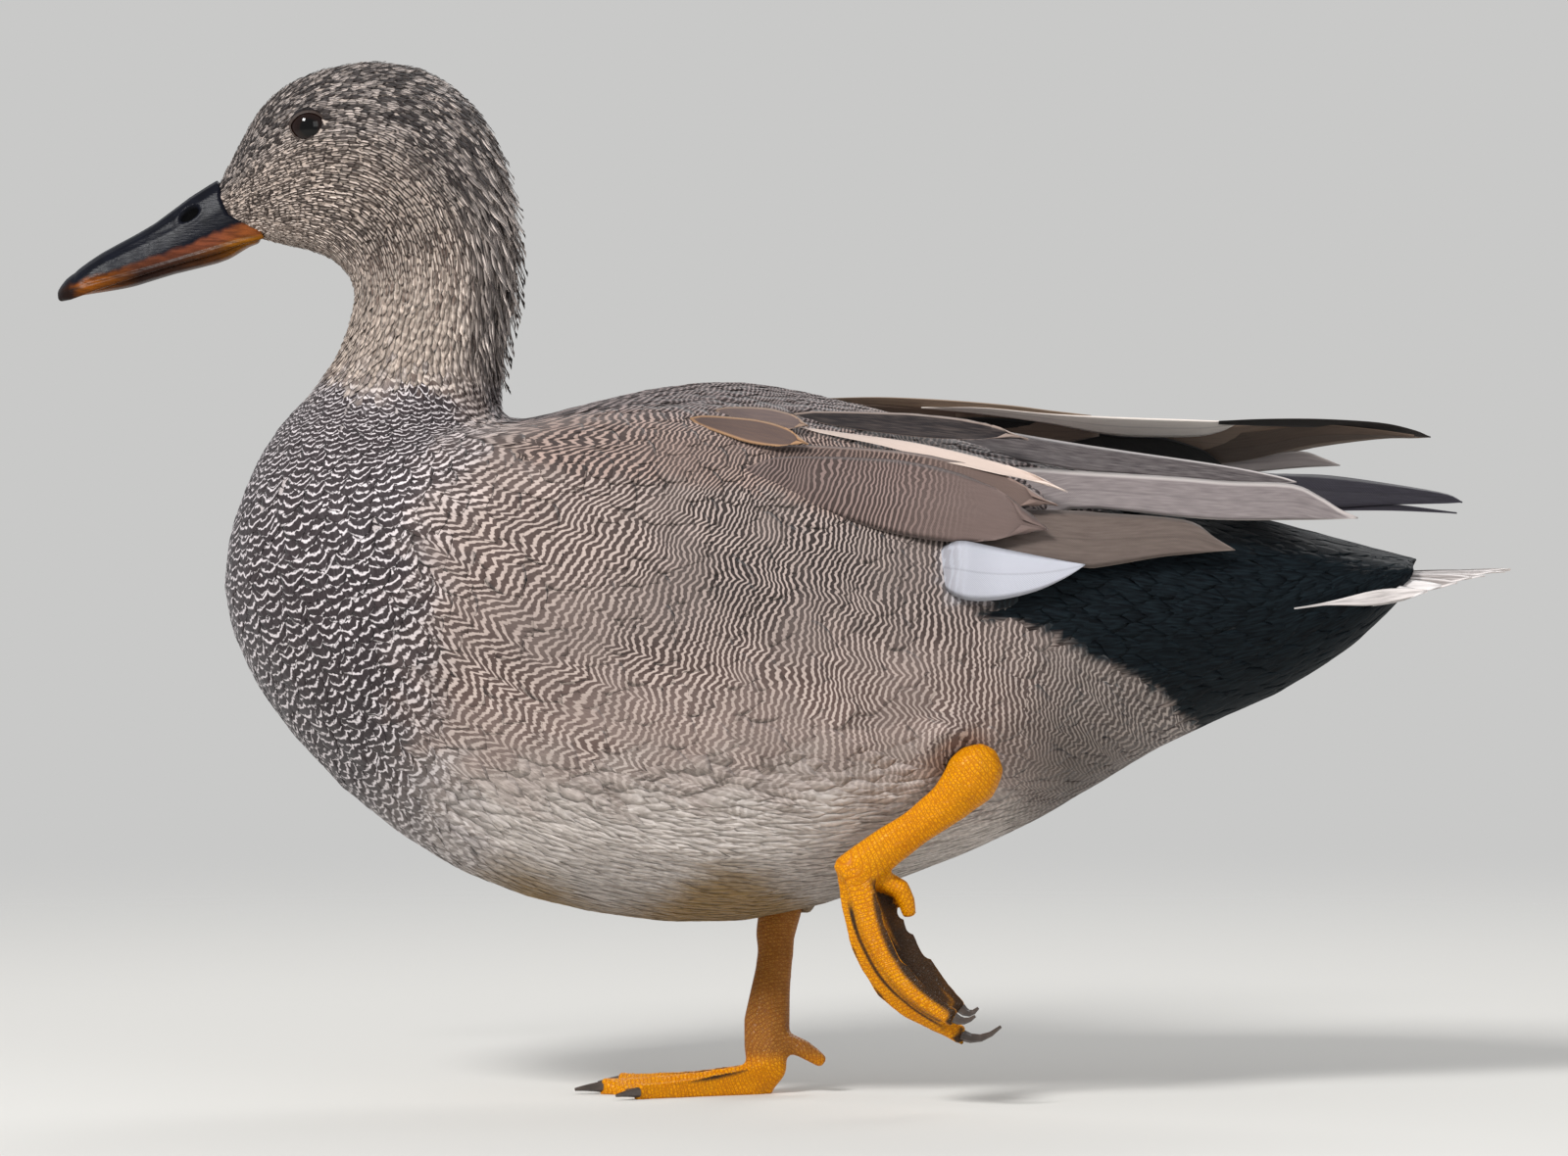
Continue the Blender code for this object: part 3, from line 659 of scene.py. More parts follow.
# grows many vanes at once over the skin
def growVanes(name, material, surface, coat, rows, columns, rng, slotName):
    count = len(coat["root"])
    place = (np.linspace(0, 1, rows) ** 0.85)[None, :, None]
    out = np.linspace(-1, 1, columns)[None, None, :]
    root, lie, normal = coat["root"], coat["lie"], coat["normal"]
    side = unit(np.cross(normal, lie))

    def each(key):
        return coat[key][:, None, None]

    width = np.maximum(vaneWidth(place, each("fullest"), each("sharp")), 0.06)
    rough = rng.random((count, rows, columns)) - 0.5
    ragged = 1 + each("ragged") * rough * (place > 0.4)
    across = each("half") * width * out * ragged
    sweep = each("curve") * each("length") * place**2
    reach = each("length") * (place - 0.10 * out**2 * place**3) * (1 + 0.5 * (ragged - 1) * (place > 0.8))
    base = root[:, None, None] + reach[..., None] * lie[:, None, None]
    base = base + (across + sweep)[..., None] * side[:, None, None]
    found, normals = surface.nearest(base.reshape(-1, 3))
    found, normals = found.reshape(base.shape), normals.reshape(base.shape)
    height = each("lift") * place**1.15 * (1 - each("dip") * smoothStep(0.72, 1, place)) + each("sink")
    height = height - each("camber") * each("half") * width * out**2
    height = height + each("roll") * each("half") * width * out
    upper = found + normals * height[..., None]
    middle = columns // 2
    under = upper[:, :, middle] - normals[:, :, middle] * coat["thick"][:, None, None]
    full = np.broadcast_to(each("half") * width, across.shape)
    drawn = mm * coat["scale"][:, None, None, None]
    local = np.stack([across, reach, np.broadcast_to(each("length"), across.shape)], axis=-1) / drawn
    rims = np.stack([full + across, full - across, each("length") - reach], axis=-1) / drawn
    return vanePiece(name, material, upper, under, coat, local, rims, slotName)


# the map for baking: each vane has its own patch, in the order of the roots along and round the body
def bakePlaces(thing, coat, rows, columns):
    count = len(coat["seed"])
    lanes = max(1, int(math.ceil(math.sqrt(count))))
    byLength = np.argsort(coat["along"], kind="stable")
    lane, step = np.empty(count, int), np.empty(count, int)
    for start in range(0, count, lanes):
        members = byLength[start : start + lanes]
        members = members[np.argsort(coat["angle"][members], kind="stable")]
        lane[members], step[members] = start // lanes, np.arange(len(members))
    cell, margin = 1 / lanes, 0.08
    place, out = np.linspace(0, 1, rows) ** 1.6, np.linspace(0, 1, columns)
    upper = np.stack(np.meshgrid(out, place, indexing="xy"), axis=-1).reshape(-1, 2)
    keel = np.column_stack([np.full(rows, 0.5), place])
    local = margin + (1 - 2 * margin) * np.concatenate([upper, keel])
    places = (np.column_stack([lane, step])[:, None, :] + local[None]) * cell
    mesh = thing.data
    index = np.empty(len(mesh.loops), np.int32)
    mesh.loops.foreach_get("vertex_index", index)
    layer = mesh.uv_layers.new(name="OFBake")
    layer.data.foreach_set("uv", places.reshape(-1, 2)[index].astype(np.float32).ravel())


# chooses roots so that none is nearer to another than its spacing, along and across the lie
def chooseRoots(places, lie, normal, alongGap, acrossGap):
    size = float(max(alongGap.max(), acrossGap.max()))
    toLie, toSide = lie / alongGap[:, None], np.cross(normal, lie) / acrossGap[:, None]
    spots, first, second = places.tolist(), toLie.tolist(), toSide.tolist()
    cells, kept, steps = {}, [], (0, -1, 1)
    for i, key in enumerate(map(tuple, np.floor(places / size).astype(int).tolist())):
        (x, y, z), (ax, ay, az), (bx, by, bz) = spots[i], first[i], second[i]
        near = False
        for cell in ((key[0] + a, key[1] + b, key[2] + c) for a in steps for b in steps for c in steps):
            for u, v, w in cells.get(cell, ()):
                u, v, w = x - u, y - v, z - w
                if (u * ax + v * ay + w * az) ** 2 + (u * bx + v * by + w * bz) ** 2 < 1:
                    near = True
                    break
            if near:
                break
        if not near:
            cells.setdefault(key, []).append((x, y, z))
            kept.append(i)
    return np.array(kept)


# how the feathers of each region grow, in mm: step along the lie, step across, length, half width and tip's
# height, then how pointed, how ragged and how arched across they are
growth = {
    "face": (1.25, 0.90, 3.3, 0.62, 0.30, 0.9, 0.2, 0.10),
    "crown": (1.15, 0.84, 3.6, 0.62, 0.45, 0.9, 0.3, 0.15),
    "nape": (1.20, 0.85, 8.0, 0.62, 1.50, 1.9, 0.3, 0.30),
    "throat": (1.10, 0.80, 3.4, 0.66, 0.40, 0.8, 0.2, 0.15),
    "neck": (1.30, 0.95, 5.0, 0.80, 0.50, 0.9, 0.3, 0.15),
    "breast": (2.35, 3.10, 9.8, 3.70, 0.26, 0.5, 0.05, 0.03),
    "mantle": (2.20, 1.80, 9.0, 2.10, 0.55, 0.8, 0.25, 0.10),
    "scapular": (3.20, 3.00, 13.0, 3.90, 0.40, 0.5, 0.06, 0.05),
    "flank": (3.80, 3.80, 17.0, 5.20, 0.14, 0.5, 0.03, 0.016),
    "belly": (2.00, 0.95, 10.0, 0.85, 0.18, 1.1, 0.40, 0.05),
    "vent": (2.60, 2.40, 11.0, 3.00, 0.20, 0.6, 0.10, 0.035),
    "stern": (2.80, 2.00, 14.0, 2.80, 0.20, 0.8, 0.16, 0.04),
}
# their markings: the bars' spacing in mm, then from 0 to 1 the share of bars to scallops, the contrast, how
# dark their middles are, how streaked they are, and the pale share between
markings = {
    "face": (1.9, 0, 0.00, 1.70, 0.3, 0.72),
    "crown": (1.9, 0, 0.00, 0.90, 0.3, 0.36),
    "nape": (1.9, 0, 0.00, 0.70, 0.6, 0.60),
    "throat": (1.9, 0, 0.00, 0.90, 0.3, 0.90),
    "neck": (1.9, 1, 0.40, 0.40, 0.4, 0.80),
    "breast": (1.75, 0, 1.00, 0.00, 0.1, 0.26),
    "mantle": (1.8, 1, 0.80, 0.10, 0.3, 0.28),
    "scapular": (1.7, 1, 0.90, 0, 0.1, 0.37),
    "flank": (1.75, 1, 0.95, 0, 0, 0.37),
    "belly": (1.8, 1, 0.14, 0.00, 0.7, 0.74),
    "vent": (1.45, 1, 0.75, 0, 0.2, 0.41),
    "stern": (2.0, 1, 0.00, 0.00, 1.3, 0.30),
}
headRegions = ["face", "crown", "throat", "nape", "neck"]
bodyRegions = ["breast", "mantle", "scapular", "flank", "belly", "vent", "stern"]
regionOrder = headRegions + bodyRegions


def blended(table, shares):
    return sum(shares[name][:, None] * np.array(table[name], float) for name in shares)


def strongestOf(shares):
    return np.argmax(np.column_stack([shares[name] for name in regionOrder]), axis=1)


def marksAt(shares):
    marks = blended(markings, shares)
    marks[:, 0] = np.array([markings[name][0] for name in regionOrder])[strongestOf(shares)]
    return marks


billTree = treeOf(*gather(["bill_upper", "bill_lower"]))
# where the face's feathers end on the bill: up its box, and how far along it from its tip
faceEdge = np.array([
    (0.40, 1.03), (0.478, 1.01), (0.544, 0.991), (0.672, 0.923), (0.745, 0.844), (0.872, 0.806),
    (1.03, 0.795),
])
eyeMiddles = [np.mean(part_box(name), axis=0) + (0.0008, 0, -0.0009) for name in ("eye_left", "eye_right")]
eyeClear = 0.0042  # how far from its middle feathers keep
coatLook = {
    "seed": 7,
    "tries": 4.0,  # how many roots are tried for each one that finds room
    # size at the bill's root, and between where along the spine it grows to full
    "small": (0.60, 0.004, 0.034),
    "neat": 0.42,  # how much smaller they are at the breast's top
    "turn": {"nape": 0.12, "belly": 0.05, "mantle": 0.06, "breast": 0.12},  # more than usual, in radians
    "usualTurn": 0.05,
    "flecks": (0.96, 0.5, 0.28, 0.06),  # how pale: plain, half, dull and dark
    "mostTriangles": 170000,  # in one piece
}


def distancesTo(tree, places):
    gaps = np.empty(len(places))
    for i, place in enumerate(places.tolist()):
        hit = tree.find_nearest(place)
        gaps[i] = hit[3] if (Vector(place) - hit[0]).dot(hit[1]) > 0 else -hit[3]
    return gaps


# plans one group of feathers: where they root, how they lie, and how each is marked
def planCoat(wanted, rng):
    middles = skinSurface.points[skinSurface.faces].mean(axis=1)
    _, along, angle, _ = lieOfCoat(middles)
    shares, _ = regionsAt(middles, along, angle)
    member = sum(shares[name] for name in wanted) > 0.5
    sizes = blended(growth, shares) * mm
    share = member / (sizes[:, 0] * sizes[:, 1])
    count = int((skinSurface.areas * share).sum() * coatLook["tries"])
    places, normals = skinSurface.scatter(count, rng, share)
    lie, along, angle, _ = lieOfCoat(places)
    lie = unit(lie - normals * (lie * normals).sum(axis=1, keepdims=True))
    shares, _ = regionsAt(places, along, angle)
    sizes = blended(growth, shares)
    least, start, end = coatLook["small"]
    small = least + (1 - least) * smoothStep(start, end, along)
    small = small * (1 - shares["breast"] * coatLook["neat"] * smoothStep(0.140, 0.166, places[:, 2]))
    sizes[:, :5] *= mm * small[:, None]
    kept = chooseRoots(places, lie, normals, sizes[:, 0], sizes[:, 1])
    at = within(places[kept], "bill_upper")
    clear = (at[:, 1] > -0.02) & (at[:, 0] > np.interp(at[:, 2], *faceEdge.T)) & (at[:, 2] > 0.44)
    clear |= distancesTo(billTree, places[kept]) > 0.0003
    for middle in eyeMiddles:
        clear &= np.linalg.norm(places[kept] - middle, axis=1) > eyeClear
    kept = kept[clear]
    places, normals, lie, along, angle, sizes, small = (
        values[kept] for values in (places, normals, lie, along, angle, sizes, small)
    )
    count = len(kept)
    # what shows of a feather is its last third, so its looks are those of the place where that lies
    seen, _ = skinSurface.nearest(places + lie * (0.75 * sizes[:, 2])[:, None])
    _, seenAlong, seenAngle, _ = lieOfCoat(seen)
    strayed = seen + rng.normal(0, 1, (count, 3)) * (0.0035, 0.0, 0.0022) * (seen[:, :1] < 0.03)
    shares, stain = regionsAt(strayed, seenAlong, seenAngle)
    turn = sum((more * shares[name] for name, more in coatLook["turn"].items()), coatLook["usualTurn"])
    turn = rng.normal(0, 1, count) * turn
    side = np.cross(normals, lie)
    lie = unit(lie * np.cos(turn)[:, None] + side * np.sin(turn)[:, None])
    dark, pale = tonesAt(seen, shares, stain)
    marks = marksAt(shares)
    onHead = sum(shares[name] for name in headRegions)
    shade = rng.normal(1, 0.05, count)[:, None] * (1 + onHead * rng.normal(0, 0.12, count))[:, None]
    # on the head each feather is pale or dull as a whole, and on its top some are half pale
    flecked = onHead - 0.6 * shares["neck"] > 0.45
    onTop = shares["crown"] + shares["nape"] > 0.5
    bright, half, dull, dim = coatLook["flecks"]
    level, share = rng.random(count), marks[:, 5]
    topFleck = np.where(level < 0.65 * share, bright, np.where(level < 1.4 * share, half, dim))
    sideFleck = np.where(level < share, bright, dull)
    even = np.where(flecked, np.where(onTop, topFleck, sideFleck), share)
    length = sizes[:, 2] * (1 + 0.15 * rng.uniform(-1, 1, count))
    # none reaches over the eye
    for middle in eyeMiddles:
        away = middle - places
        ahead = (away * lie).sum(axis=1)
        aside = np.linalg.norm(away - ahead[:, None] * lie, axis=1)
        reach = ahead - np.sqrt(np.maximum(eyeClear**2 - aside**2, 0))
        near = (aside < eyeClear) & (ahead > 0) & (np.linalg.norm(away, axis=1) < 0.02)
        length = np.where(near, np.minimum(length, np.maximum(reach, 0.0012)), length)
    onNape = shares["nape"] > 0.6
    planned = {
        "root": places, "normal": normals, "lie": lie, "along": along, "angle": angle, "length": length
    }
    planned["region"] = strongestOf(shares)
    planned["half"] = sizes[:, 3]
    planned["lift"] = sizes[:, 4] * np.where(
        onNape, 0.3 + 2.2 * rng.random(count) ** 3, rng.uniform(0.7, 1.3, count)
    )
    planned["sharp"], planned["ragged"], planned["camber"] = sizes[:, 5:].T
    planned["fullest"] = np.full(count, 0.45)
    planned["sink"] = rng.normal(0.04, 1, count).clip(-1, 2) * 0.02 * mm
    planned["roll"] = rng.normal(0, 0.03, count) * np.minimum(1, 0.6 * mm / sizes[:, 3])
    planned["curve"] = rng.normal(0, 0.04, count)
    planned["dip"] = (1 - onHead) * (0.5 - 0.35 * shares["breast"])
    planned["thick"] = 0.00006 + 0.001 * sizes[:, 3]
    planned["shade"], planned["dark"], planned["pale"] = shade, dark * shade, pale * shade
    planned["marks"], planned["barred"], planned["even"] = marks[:, [0, 2, 3, 4]], marks[:, 1], even
    planned["stray"] = rng.normal(0, 0.8 * mm, (count, 3))
    planned["fade"], planned["fringe"] = np.full((count, 2), (2.0, 1.0)), np.zeros((count, 3))
    planned["seed"], planned["scale"] = rng.random(count), small
    return planned


# feather material: one for all barred and plain vanes, from what each vane says of itself

featherLook = {
    "scallopPeriod": 2.4,  # mm from one pale line to the next
    "firstScallop": 0.6,  # mm in from the tip
    "arcDrop": 2.7,  # mm that an arc falls back at the vane's sides
    "wander": 1.7,  # mm, over two noises of these scales per mm
    "wanderScales": (0.24, 0.85),
    "thinner": 0.61,  # how much of a scallop's pale line is taken off, and of a bar's
    "thinnerBar": 0.2,
    "lineEdge": (-0.25, 0.50),
    "patchScale": 0.05,  # per mm, of the places where bars are fainter
    "streakScale": (2.2, 0.22),  # per mm across and along, of streaks that follow the barbs
    "streak": 1.6,
    "middle": (0.10, 0.45),  # a dark middle fades between these shares of the half width
    "shaft": (0.12, 0.34),  # mm from the middle, where a shaft ends
    "rooted": 0.78,  # how dark a vane is where the next one shades its root
    "barbs": 0.55,  # mm, real ones are 0.3 and too fine to show
    "barbSlant": -1.1,
}


def featherMaterial(name, roughness, sheen, shaftDepth, gloss):
    look = featherLook
    made, add, shader = newMaterial(name)
    vane, traits, rims, fringe, place = (
        add("SeparateXYZ", [add("Attribute", attribute_name=key, out="Vector")]).node.outputs
        for key in ("vane", "traits", "rims", "fringe", "place")
    )
    (u, v, vaneLength), (seed, half, even), (lowRim, highRim, _) = vane, traits, rims
    (lowFringe, highFringe, fringed), (s, t, shift) = fringe, place
    marks, tone, pale = (
        add("Attribute", attribute_name=key, out="Color") for key in ("marks", "tone", "pale")
    )
    period, contrast, centre = add("SeparateColor", [marks]).node.outputs
    streaks = marks.node.outputs["Alpha"]
    offShaft = add("Math", [u], "ABSOLUTE")
    lengthways = add("Math", [v, vaneLength], "DIVIDE")
    own = add("Math", [seed, 91.0], "MULTIPLY")
    spot = add("CombineXYZ", [u, v, own])
    # scallops run across the tip in shallow arcs, wavy and here and there broken
    broad, fine = (
        add("TexNoise", {"Vector": spot, "Scale": scale, "Detail": 1.0}) for scale in look["wanderScales"]
    )
    wander = add("Math", [add("Math", [broad, fine], "ADD"), -1.0], "ADD")
    sideways = add("Math", [offShaft, half], "DIVIDE")
    drop = add("Math", [add("Math", [sideways, 2.0], "POWER"), look["arcDrop"]], "MULTIPLY")
    fromTip = add("Math", [add("Math", [vaneLength, v], "SUBTRACT"), drop], "SUBTRACT")
    fromTip = add("Math", [fromTip, -look["firstScallop"]], "ADD")
    scallop = add("Math", [wander, look["wander"], fromTip], "MULTIPLY_ADD")
    turns = add("Math", [scallop, math.tau / look["scallopPeriod"]], "MULTIPLY")
    ring = add("Math", [add("Math", [turns], "COSINE"), -look["thinner"]], "ADD")
    gap = add("MapRange", [fine, 0.27, 0.37, -0.7, 0.0])
    ring = add("Math", [ring, gap], "ADD")
    wave = add("Math", [barWave(add, s, t, period, shift), -look["thinnerBar"]], "ADD")
    barred = tone.node.outputs["Alpha"]
    mixed = add("Math", [barred, add("Math", [1.0, barred], "SUBTRACT")], "MULTIPLY")
    line = add("Math", [mixed, 1.5, add("Mix", [barred, None, ring, wave])], "MULTIPLY_ADD")
    low, high = look["lineEdge"]
    line = add("MapRange", [line, low, high], interpolation_type="SMOOTHSTEP")
    elsewhere = add("CombineXYZ", [s, t, 7.0])
    patches = add("TexNoise", {"Vector": elsewhere, "Scale": look["patchScale"], "Detail": 3.0})
    patches = add("MapRange", [patches, 0.38, 0.56, 0.6, 1.0])
    patches = add("Mix", [barred, None, 1.0, patches])
    share = add("Mix", [add("Math", [contrast, patches], "MULTIPLY"), None, even, line])
    thread = [add("Math", [part, scale], "MULTIPLY") for part, scale in zip((u, v), look["streakScale"])]
    streak = add("TexNoise", {"Vector": add("CombineXYZ", [*thread, own]), "Scale": 1.0, "Detail": 2.0})
    streak = add("Math", [add("Math", [streak, -0.5], "ADD"), streaks], "MULTIPLY")
    share = add("Math", [streak, look["streak"], share], "MULTIPLY_ADD", use_clamp=True)
    # a dark middle near the tip, as on the head
    low, high = look["middle"]
    middle = add("MapRange", [sideways, low, high, 1.0, 0.0])
    tipward = add("MapRange", [lengthways, 0.82, 0.98, 1.0, 0.0])
    dot = add("Math", [add("Math", [middle, tipward], "MULTIPLY"), centre], "MULTIPLY")
    share = add("Math", [share, add("Math", [1.0, dot], "SUBTRACT")], "MULTIPLY")
    # pale edges, each side as wide as the vane says
    for rim, wide in ((lowRim, lowFringe), (highRim, highFringe)):
        inner = add("Math", [wide, 0.6], "MULTIPLY")
        outer = add("Math", [wide, 0.25], "ADD")
        edge = add("MapRange", [rim, inner, outer, 1.0, 0.0])
        edge = add("Math", [edge, fringed], "MULTIPLY")
        share = add("Math", [share, edge], "MAXIMUM")
    hue = add("Mix", {0: share, 6: tone, 7: pale}, **inColour)
    low, high = look["shaft"]
    shaft = add("MapRange", [offShaft, low, high, shaftDepth, 0.0])
    rooted = [lengthways, 0.10, 0.45, look["rooted"], 1.0]
    dim = add("Math", [add("MapRange", rooted), add("Math", [1.0, shaft], "SUBTRACT")], "MULTIPLY")
    dim = add("CombineColor", [dim, dim, dim])
    shaded = add("Mix", {0: 1.0, 6: hue, 7: dim}, blend_type="MULTIPLY", **inColour)
    slant = add("Math", [offShaft, look["barbSlant"], v], "MULTIPLY_ADD")
    ribs = add("Math", [add("Math", [slant, math.tau / look["barbs"]], "MULTIPLY")], "SINE")
    relief = add("Bump", {"Height": ribs, "Strength": 0.30, "Distance": 0.00008})
    feed(shader, {"Base Color": shaded, "Normal": relief, "Roughness": roughness})
    feed(shader, {"Specular IOR Level": gloss, "Sheen Weight": sheen})
    return made


# soft keratin vanes: matt, with fine lines off a shaft
contourFeather = featherMaterial("contourFeather", roughness=0.62, sheen=0.10, shaftDepth=0.0, gloss=0.28)
# stiff smooth vanes: a low gloss and a dark shaft
flightFeather = featherMaterial("flightFeather", roughness=0.50, sheen=0.05, shaftDepth=0.15, gloss=0.30)
# melanin black: deep and soft, with hardly any gloss
blackFeather = featherMaterial("blackTailCovert", roughness=0.60, sheen=0.0, shaftDepth=0.0, gloss=0.07)

# the coat, piece by piece

rng = np.random.default_rng(coatLook["seed"])
coatPieces = [  # name, regions, points along and across a vane, slot, material
    ("headCoat", ["face", "crown", "throat"], 4, 3, "head_feathers", contourFeather),
    ("napeCoat", ["nape"], 5, 3, "head_feathers", contourFeather),
    ("neckCoat", ["neck"], 4, 3, "neck_feathers", contourFeather),
    ("breastCoat", ["breast"], 8, 7, "body_feathers", contourFeather),
    ("mantleCoat", ["mantle"], 6, 3, "wing_feathers", contourFeather),
    ("scapularCoat", ["scapular"], 8, 7, "wing_feathers", contourFeather),
    ("flankCoat", ["flank"], 8, 7, "body_feathers", contourFeather),
    ("bellyCoat", ["belly"], 4, 3, "body_feathers", contourFeather),
    ("ventCoat", ["vent"], 6, 5, "body_feathers", contourFeather),
    ("sternCoat", ["stern"], 7, 5, "stern_feathers", blackFeather),
]
plans = [planCoat(headRegions, rng), planCoat(bodyRegions, rng)]
plan = {key: np.concatenate([p[key] for p in plans]) for key in plans[0]}


for name, wanted, rows, columns, slotName, material in coatPieces:
    members = np.flatnonzero(np.isin(plan["region"], [regionOrder.index(region) for region in wanted]))
    perVane = 2 * (rows - 1) * (columns + 1) + 2 * (columns - 1)
    parts = math.ceil(len(members) * perVane / coatLook["mostTriangles"])
    for part in range(parts):
        coat = {key: values[members[part::parts]] for key, values in plan.items()}
        if wanted[0] in headRegions:
            del coat["stray"]
        label = name + (str(part + 1) if parts > 1 else "")
        growVanes(label, material, skinSurface, coat, rows, columns, rng, slotName)
        print(label, len(coat["seed"]), "feathers,", len(coat["seed"]) * perVane, "triangles")

skin = addMesh("skin", skinPoints, list(skinFaces), skinMaterial)
_, skinAlong, skinAngle, skinAround = lieOfCoat(skinPoints)
skinShares, skinStain = regionsAt(skinPoints, skinAlong, skinAngle)
skinMarks = marksAt(skinShares)
ones = np.ones(len(skinPoints))
for key, tones in zip(("tone", "pale"), tonesAt(skinPoints, skinShares, skinStain)):
    setAttribute(skin, key, "FLOAT_COLOR", np.column_stack([tones, ones]))
setAttribute(skin, "marks", "FLOAT_COLOR", np.column_stack([skinMarks[:, [0, 2, 3]], ones]))
skinPlace = np.column_stack([barPlace(skinAlong), skinAround / mm, skinMarks[:, 5]])
setAttribute(skin, "place", "FLOAT_VECTOR", skinPlace)
asPiece(skin, "body_feathers", *fleshNodes)


# the long feathers of the wings, laid over one another from the root of the wing out

# lean is how far a vane tips over inward at its root and tip, in degrees
leans = {
    "primaries": (50, 46), "tertial_upper": (55, 48), "tertial_middle": (40, 34), "tertial_lower": (26, 24),
    "speculum": (10, 12),
}
# what each vane stands for and looks like: out is its layer's height off its node's solid and tuck is how far
# its root lies in, both in mm, and even is the share of pale in its tone. An outline's rows are a place
# behind the wing's rear end, then the vane's lower and upper edge above the wing's underside, in mm. The
# lowest tertial and the white patch are the same on both sides, apart from how high they sit.
lowTertial = {
    "node": "tertial_lower", "out": 2.8, "tuck": 5.0, "dark": "#4a3d38", "pale": "#94857b",
    "fringe": (0.25, 0.4, 0.6), "even": 0.28,
    "outline": (
        (-38, 9, 16), (-22, 6.1, 15.5), (-12.2, 3.6, 15), (0.9, 1.6, 14.5), (5.7, 1.7, 14), (18.8, 3.7, 13),
        (26.9, 4.4, 11.6), (31.7, 4.8, 8.2), (36.6, 5.1, 5.2),
    ),
}
whitePatch = {
    "node": "speculum", "out": 2.2, "tuck": 4.6, "dark": "#857d7f", "pale": "#bebfc8",
    "even": 0.98, "marks": (1.9, 0.45, 0, 0.05), "fade": (0.10, 0.22),
    "outline": (
        (-33, -0.5, 4.5), (-30.5, -3.8, 7.2), (-27, -5.4, 8), (-23, -5.9, 7.3), (-17, -5.4, 6),
        (-9.7, -3.6, 4.5), (-3.2, -0.7, 3.2), (1.4, 2.2, 2.4),
    ),
}
featherKeys = ("node", "out", "tuck", "dark", "pale", "even", "fringe", "outline")
featherRows = {
    "left": (
        ("primaries", 0.6, 0, "#19151d", "#4c4854", 0.10, (0.3, 0.35, 0.4), (
            (20, 20, 26), (43, 19, 22.6), (49.7, 17, 22.2), (59, 14.6, 21.8), (71.5, 15, 20.1),
            (86, 15.2, 17.6), (90.4, 15.4, 15.6),
        )),
        ("primaries", 0.0, 0, "#19161d", "#4a4550", 0.10, (0.3, 0.3, 0.4), (
            (30, 12.8, 20), (50, 13.6, 16), (71.5, 13.7, 15.4), (89, 12.9, 13.2),
        )),
        ("tertial_upper", 1.2, 6.0, "#2a2023", "#c9bfbb", 0.12, (0.0, 0.55, 0.9), (
            (-30, 27, 34), (-22, 26, 33), (-10, 25, 31), (0, 23.4, 29.4), (10.6, 22.6, 27.8),
            (33.3, 20.9, 24.5), (46.4, 20.3, 22), (51.3, 20.4, 20.6),
        )),
        ("tertial_middle", 2.0, 6.0, "#5e5355", "#cbc1bc", 0.24, (0.2, 1.5, 0.85), (
            (-32, 10, 24), (-12, 11, 24.2), (0, 15, 23.4), (22.8, 12.9, 22), (35, 12, 20.9),
            (49.7, 11.9, 20.2), (56.1, 11.9, 17.6), (61.4, 12, 14.3), (65.5, 12.1, 12.4),
        )),
    ),
    "right": (
        ("primaries", 0.0, 0, "#3a2e29", "#85705f", 0.30, (0.3, 0.3, 0.5), (
            (20, 22, 30), (40, 24, 31), (56, 28, 33), (70, 29.6, 32), (80, 29.8, 30.6),
        )),
        ("tertial_upper", 0.0, 0, "#5a4940", "#a08a78", 0.50, (0.3, 0.5, 0.5), (
            (-28, 27, 37.6), (-6, 26, 35.6), (10, 25, 34.6), (27, 23.5, 34.1), (38, 22.8, 33.6),
            (56, 27.1, 34.2), (72, 29.4, 33.4), (80, 29.6, 31.6), (83.7, 29.8, 30),
        )),
        # a near black vane inside the far tertial: painted shadow in the hollow between the wings
        ("tertial_upper", -0.9, 0, "#070505", "#2a221e", 0.03, (0, 0, 0), (
            (-34, 33.6, 34.2), (-20, 29, 34.6), (-6, 24, 33.2), (10, 23, 30.4), (20, 22.5, 30),
            (30, 22.5, 27), (35, 22.6, 23.4),
        )),
        # the far tertial's pale upper vane: its own pale colour, painted brighter still as if lit, though it
        # faces away from the lamps
        ("tertial_upper", -1.6, 0, "#cfbeb3", "#fff4ea", 0.90, (0, 0.3, 0.6), (
            (-36, 36.9, 37.0), (-22, 35.4, 37.1), (-6, 33.1, 35.6), (10, 30.2, 34.8), (27, 29.9, 34.2),
            (34, 31, 33.9), (38.5, 33.2, 33.7),
        )),
        ("tertial_upper", -1.2, 0, "#171210", "#4d3f37", 0.10, (0, 0, 0), (
            (34, 33, 33.9), (45, 32.6, 34.4), (58, 32.2, 34.4), (72, 31, 33.5), (80, 30.1, 31.7),
            (84, 29.8, 30),
        )),
        ("tertial_upper", -2.2, 0, "#7c6856", "#b8a18c", 0.55, (0, 0, 0), (
            (-66, 38.9, 39.0), (-57, 38.2, 39.4), (-45, 37.6, 39.6), (-30, 36.2, 38.9), (-15, 35, 37.6),
            (-6, 34.4, 36.4), (4, 33.8, 35.2),
        )),
        ("tertial_upper", -1.6, 0, "#463932", "#8b7768", 0.50, (0, 0.5, 0.5), (
            (-92, 25, 32), (-80, 27, 36.2), (-60, 28, 38.6), (-40, 28, 38), (-20, 27, 36.2), (-4, 28, 34.4),
            (6, 30, 32),
        )),
        ("tertial_middle", 0.6, 0, "#85797a", "#c4bab5", 0.45, (0.3, 0.8, 0.8), (
            (-32, 14, 26), (0, 16, 26), (20, 18, 26.5), (38, 20.5, 26), (46, 21.6, 26), (54, 22.4, 26.4),
            (59, 22.7, 24.8), (63, 22.9, 23.1),
        )),
    ),
}
longFeathers = {label: [dict(zip(featherKeys, row)) for row in rows] for label, rows in featherRows.items()}
for look in longFeathers["right"]:
    look["inward"] = look["node"] != "primaries"  # the far wing shows its inner face to the bird's middle
longFeathers["left"] += [lowTertial, whitePatch]
longFeathers["right"] += [{**lowTertial, "up": 5.0}, {**whitePatch, "up": 1.7}]
wingLow, wingHigh = boxOf("wing_left")


